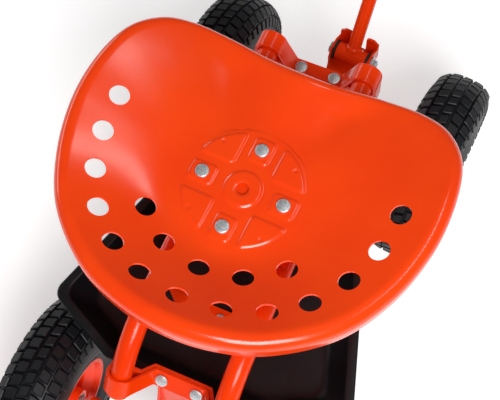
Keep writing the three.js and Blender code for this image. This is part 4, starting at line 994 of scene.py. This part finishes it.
for name, wheel_place in wheel_places.items():
    bm = bmesh.new()
    bush = [(8.6, -29.4), (9.2, -30), (10.4, -30), (11, -29.4)]
    bush += [(r, -h) for r, h in reversed(bush)]
    turned(bush + [bush[0]], wheel_place @ to_y)
    settle(f"nylon_{name}_bush", nylon, f"{name}_wheel", [f"{name}_bush"])
    bm = bmesh.new()
    outward = to_y if name.endswith("left") else to_y @ Matrix.Rotation(math.pi, 4, "X")
    nut_place = wheel_place @ outward @ Matrix.Translation((0, 0, 31.4 * MM))
    flange = [(6.3, 0), (14.2, 0), (15, 0.7), (15, 1.8), (14, 2.4), (6.3, 2.6), (6.3, 0)]
    hexagon = [(6.3, 2), (10.6, 2), (11, 2.4), (11, 9), (10.4, 9.8), (6.3, 9.8), (6.3, 2)]
    dome = [(0, 11.4), (6.3, 11.4), (6.3, 8), (9, 8), (9, 11), (8, 13), (5.4, 14.4), (0, 14.9)]
    turned(flange, nut_place)
    turned(hexagon, nut_place, 6)
    turned(dome, nut_place)
    carrier = "chassis"
    if name.startswith("front"):
        carrier = name.replace("front_", "") + "_knuckle"
    settle(f"zinc_{name}_axle_nut", zinc, carrier, [f"{name}_axle_nut"])


# ------------------------------------------------------------------ axles and steering pins
# The rear axle, kingpins and tongue bolt are turned steel bar, zinc plated, with chamfered ends.
bm = bmesh.new()
axle = [(0, -206), (5.2, -206), (6, -205.2), (6, -195), (7.4, -195), (8, -194.4)]
axle += [(r, -h) for r, h in reversed(axle)]
turned(axle, Matrix.Translation(middle_of("rear_axle")) @ to_y)
settle("turned_rear_axle", zinc, "chassis", ["rear_axle"])
for name in ("left_kingpin", "right_kingpin", "tongue_bolt"):
    bm = bmesh.new()
    low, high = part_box(name)
    top = (high[2] - low[2]) / MM
    foot = middle_of(name)
    foot.z = low[2]
    pin = [(0, 0), (8, 0), (9, 1), (9, 5.4), (8.4, 6), (6, 6), (6, top - 6), (9.3, top - 6)]
    pin += [(10, top - 5.3), (10, top - 2.6), (9.2, top - 1.2), (7.2, top - 0.2), (0, top)]
    turned(pin, Matrix.Translation(foot))
    settle(f"turned_{name}", zinc, "chassis", [name])
for name, body in (
    ("tie_pin_left", "tie_rod"),
    ("tie_pin_centre", "tongue"),
    ("tie_pin_right", "tie_rod"),
):
    bm = bmesh.new()
    head = middle_of(name)
    head.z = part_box(name)[1][2] - HEAD_HEIGHT
    shank = [(0, -11), (3.4, -11), (4, -10.4), (4, 0)]
    turned(shank + domed_head(7.5, 3.6, 0.5), Matrix.Translation(head))
    settle(f"zinc_{name}", zinc, body, [name])
for end in ("front", "rear"):
    bm = bmesh.new()
    name = f"tray_screw_{end}"
    head = middle_of(name)
    head.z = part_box(name)[1][2] - 3 * MM
    turned([(0, -14), (2.4, -14), (3, -13.4), (3, 0)] + domed_head(6, 3, 0.4), Matrix.Translation(head))
    settle(f"zinc_{name}", zinc, "chassis", [name])


# ------------------------------------------------------------------ seat post
# The post is a coarse threaded rod, zinc plated, that lifts the seat when it is turned. A collar
# near its top carries the seat's socket and a plain spigot stands inside it.
bm = bmesh.new()
low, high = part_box("seat_screw")
post_place = Matrix.Translation((seat_axis.x, seat_axis.y, low[2]))
post_height = (high[2] - low[2]) / MM
collar_top = (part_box("seat_plate")[0][2] - low[2]) / MM - FIT_GAP / MM
THREAD_PITCH = 3
thread = [(0, 0), (9.5, 0)]
ridges = int((collar_top - 8) / THREAD_PITCH)
for ridge in range(ridges):
    start = 2 + THREAD_PITCH * ridge
    thread += [(11.5, start + 0.6), (11.5, start + 1.2), (10.2, start + 2.4)]
thread += [(10.2, collar_top - 4), (16.4, collar_top - 4), (17, collar_top - 3.4)]
thread += [(17, collar_top - 0.6), (16.4, collar_top), (9, collar_top)]
thread += [(9, post_height - 1), (8, post_height), (0, post_height)]
turned(thread, post_place)
settle("threaded_seat_screw", zinc, "seat_post", ["seat_screw"])


# ------------------------------------------------------------------ folded and welded steelwork
# Plates, brackets, knuckles, tongue and tie rod are cut and folded from steel sheet and welded.
# Their edges are broken before coating, so each carries a thin bright line.
# Each piece keeps the frame node's own shape, with its seams closed and its flats merged.
FOLDED = (
    ("seat_plate", "seat"),
    ("seat_bridge", "chassis"),
    ("front_column", "chassis"),
    ("rear_bracket", "chassis"),
    ("tray_hanger_front", "chassis"),
    ("tray_hanger_rear", "chassis"),
    ("left_knuckle", "left_knuckle"),
    ("right_knuckle", "right_knuckle"),
    ("tongue", "tongue"),
    ("tie_rod", "tie_rod"),
)
painted = [(name, body, frame_paint, "frame_paint", 0.6 * MM) for name, body in FOLDED]
plated = [("lock_nut", "chassis", zinc, "zinc", 0.8 * MM)]
for name, body, material, slot, edge in painted + plated:
    bm = bmesh.new()
    bm.from_mesh(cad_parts[name].data)
    bmesh.ops.remove_doubles(bm, verts=bm.verts, dist=1e-5)
    flat = math.radians(1)
    bmesh.ops.dissolve_limit(bm, angle_limit=flat, verts=bm.verts, edges=bm.edges)
    settle(f"folded_{name}", material, body, [name], bevel=edge)


# ------------------------------------------------------------------ handle hinge
# The handle's cross sleeve hangs on one zinc plated bolt through both ears of the tongue, with a
# flange nut on the right and a black rubber washer at each end. Rubber is dark and nearly matt.
black_rubber, tree, output = new_material("soft_black_rubber")
place = node(tree, "ShaderNodeTexCoord").outputs["Object"]
fine = node(
    tree, "ShaderNodeTexNoise", {"Vector": place, "Scale": 1000 / 0.9, "Detail": 3.0}
).outputs["Fac"]
matt = node(
    tree,
    "ShaderNodeMapRange",
    {"Value": fine, "From Min": 0.3, "From Max": 0.7, "To Min": 0.55, "To Max": 0.75},
)
relief = node(tree, "ShaderNodeBump", {"Height": fine, "Distance": 0.05 * MM})
rubbed = node(
    tree,
    "ShaderNodeTexNoise",
    {"Vector": place, "Scale": 1000 / 17, "Detail": 5.0, "Roughness": 0.6},
)
wear = node(
    tree, "ShaderNodeMapRange", {"Value": rubbed.outputs["Fac"], "From Min": 0.45, "From Max": 0.75}
)
colour = node(
    tree,
    "ShaderNodeMix",
    {"Factor": wear.outputs["Result"], 6: linear("#121316"), 7: linear("#232427")},
    data_type="RGBA",
)
soft = node(
    tree,
    "ShaderNodeBsdfPrincipled",
    {
        "Base Color": colour.outputs[2],
        "Roughness": matt.outputs["Result"],
        "IOR": 1.52,
        "Normal": relief.outputs["Normal"],
    },
)
tree.links.new(soft.outputs["BSDF"], output.inputs["Surface"])
handle_angle = math.radians(60)
washer_spots = [middle_of(f"clevis_washer_{side}") for side in ("left", "right")]
hinge = (washer_spots[0] + washer_spots[1]) / 2
hinge_place = Matrix.Translation(hinge) @ steer_rest
bm = bmesh.new()
bolt = [(0, -34.3), (4.4, -34.3), (5, -33.7), (5, 28.3)]
turned(bolt + [(r, h + 28.3) for r, h in domed_head(8, 6, 0.5)], hinge_place @ to_y)
settle("zinc_clevis_bolt", zinc, "tongue", ["clevis_bolt"])
bm = bmesh.new()
nut_place = hinge_place @ to_y @ Matrix.Rotation(math.pi, 4, "X")
nut_place = nut_place @ Matrix.Translation((0, 0, 28.3 * MM))
flange = [(5.3, 0), (10, 0), (10.5, 0.6), (10.5, 1.6), (9.8, 2.2), (5.3, 2.4), (5.3, 0)]
hexagon = [(5.3, 1.6), (8, 1.6), (8.2, 2), (8.2, 6.4), (7.6, 7), (5.3, 7), (5.3, 1.6)]
dome = [(0, 6.6), (5.3, 6.6), (5.3, 6), (6.8, 6), (6.6, 7.6), (5.4, 8.6), (0, 9)]
turned(flange, nut_place)
turned(hexagon, nut_place, 6)
turned(dome, nut_place)
settle("zinc_clevis_nut", zinc, "tongue", ["clevis_nut"])
for side, spot in zip(("left", "right"), washer_spots):
    bm = bmesh.new()
    disc = [(5.3, -1.2), (5.7, -1.6), (12.9, -1.6), (13.5, -1)]
    disc += [(r, -h) for r, h in reversed(disc)]
    turned(disc + [disc[0]], Matrix.Translation(spot) @ steer_rest @ to_y)
    name = f"clevis_washer_{side}"
    settle(f"rubber_{name}", black_rubber, "tongue", [name])


# ------------------------------------------------------------------ pull handle
# The lower tube is welded to its cross sleeve and ends in a collar. The upper tube slides in it
# and carries the cross bar with two ribbed rubber grips. A lobed plastic knob clamps them.
handle_place = hinge_place @ Matrix.Rotation(-handle_angle, 4, "Y")
to_x = Matrix.Rotation(math.pi / 2, 4, "Y")
up_tube = handle_place @ to_x


def ring_loop(inner, outer, start, end, edge=0.6):
    """Closed profile of a plain ring with its outer edges broken."""
    loop = [(inner, start), (outer - edge, start), (outer, start + edge)]
    loop += [(outer, end - edge), (outer - edge, end), (inner, end), (inner, start)]
    return loop


bm = bmesh.new()
turned(ring_loop(5.3, 12, -21, 21), handle_place @ to_y)
turned(ring_loop(7.4, 9, 9, 300), up_tube)
turned([(9, 16), (9.6, 15.2), (10.6, 14), (11, 12.4), (11, 9), (9, 9), (9, 16)], up_tube)
turned(ring_loop(8.8, 13, 274, 302, 1.2), up_tube)
settle("welded_handle_tube", frame_paint, "handle", ["handle_tube"])

bm = bmesh.new()
turned([(5.6, 130), (6.7, 130), (7.1, 130.4), (7.1, 452), (5.6, 452), (5.6, 130)], up_tube)
turned([(7.1, 448), (8.2, 449.4), (9, 452), (8.6, 456), (7.1, 456), (7.1, 448)], up_tube)
cross = handle_place @ Matrix.Translation((460 * MM, 0, 0)) @ to_y
turned([(0, -72), (8.4, -72), (9, -71.4), (9, 71.4), (8.4, 72), (0, 72)], cross)
settle("sliding_handle_extension", frame_paint, "handle_upper", ["handle_extension"])

grip_rows = [(0, 56.3), (9.3, 56.3), (9.3, 0), (12.6, 0), (13.5, 0.8), (13.5, 4)]
for rib in range(9):
    start = 6 + rib * 5.2
    grip_rows += [(12.2, start), (12.2, start + 1.6), (13.3, start + 2.4), (13.3, start + 4)]
grip_rows += [(12.6, 54), (12.4, 56), (10.5, 59), (0, 59)]
for side, turn in (("left", 0.0), ("right", math.pi)):
    bm = bmesh.new()
    inner = Matrix.Rotation(turn, 4, "X") @ Matrix.Translation((0, 0, 16 * MM))
    turned(grip_rows, cross @ inner)
    settle(f"ribbed_grip_{side}", black_rubber, "handle_upper", [f"grip_{side}"])

# The knob's lobes give the fingers a hold. It is moulded in the same black plastic as the tray.
KNOB_LOBES = 5
bm = bmesh.new()
knob_place = handle_place @ Matrix.Translation((287 * MM, 0, 0))
turned([(0, 7.4), (3, 7.4), (3, 16), (0, 16)], knob_place, 24)
rings = []
for radius, height in ((8, 15), (10.6, 15.4), (11.8, 18), (12, 22), (11.6, 25), (9.6, 26.8), (4, 27)):
    ring = []
    for step in range(60):
        angle = 2 * math.pi * step / 60
        wave = 1 - 0.09 * (1 - math.cos(KNOB_LOBES * angle))
        r = radius * wave * MM
        ring.append(knob_place @ Vector((r * math.cos(angle), r * math.sin(angle), height * MM)))
    rings.append(ring_of(ring))
for first, second in zip(rings, rings[1:]):
    join_rings(first, second)
bm.faces.new(rings[0])
bm.faces.new(rings[-1])
settle("lobed_clamp_knob", tray_plastic, "clamp_knob", ["clamp_knob"], sharp=60)
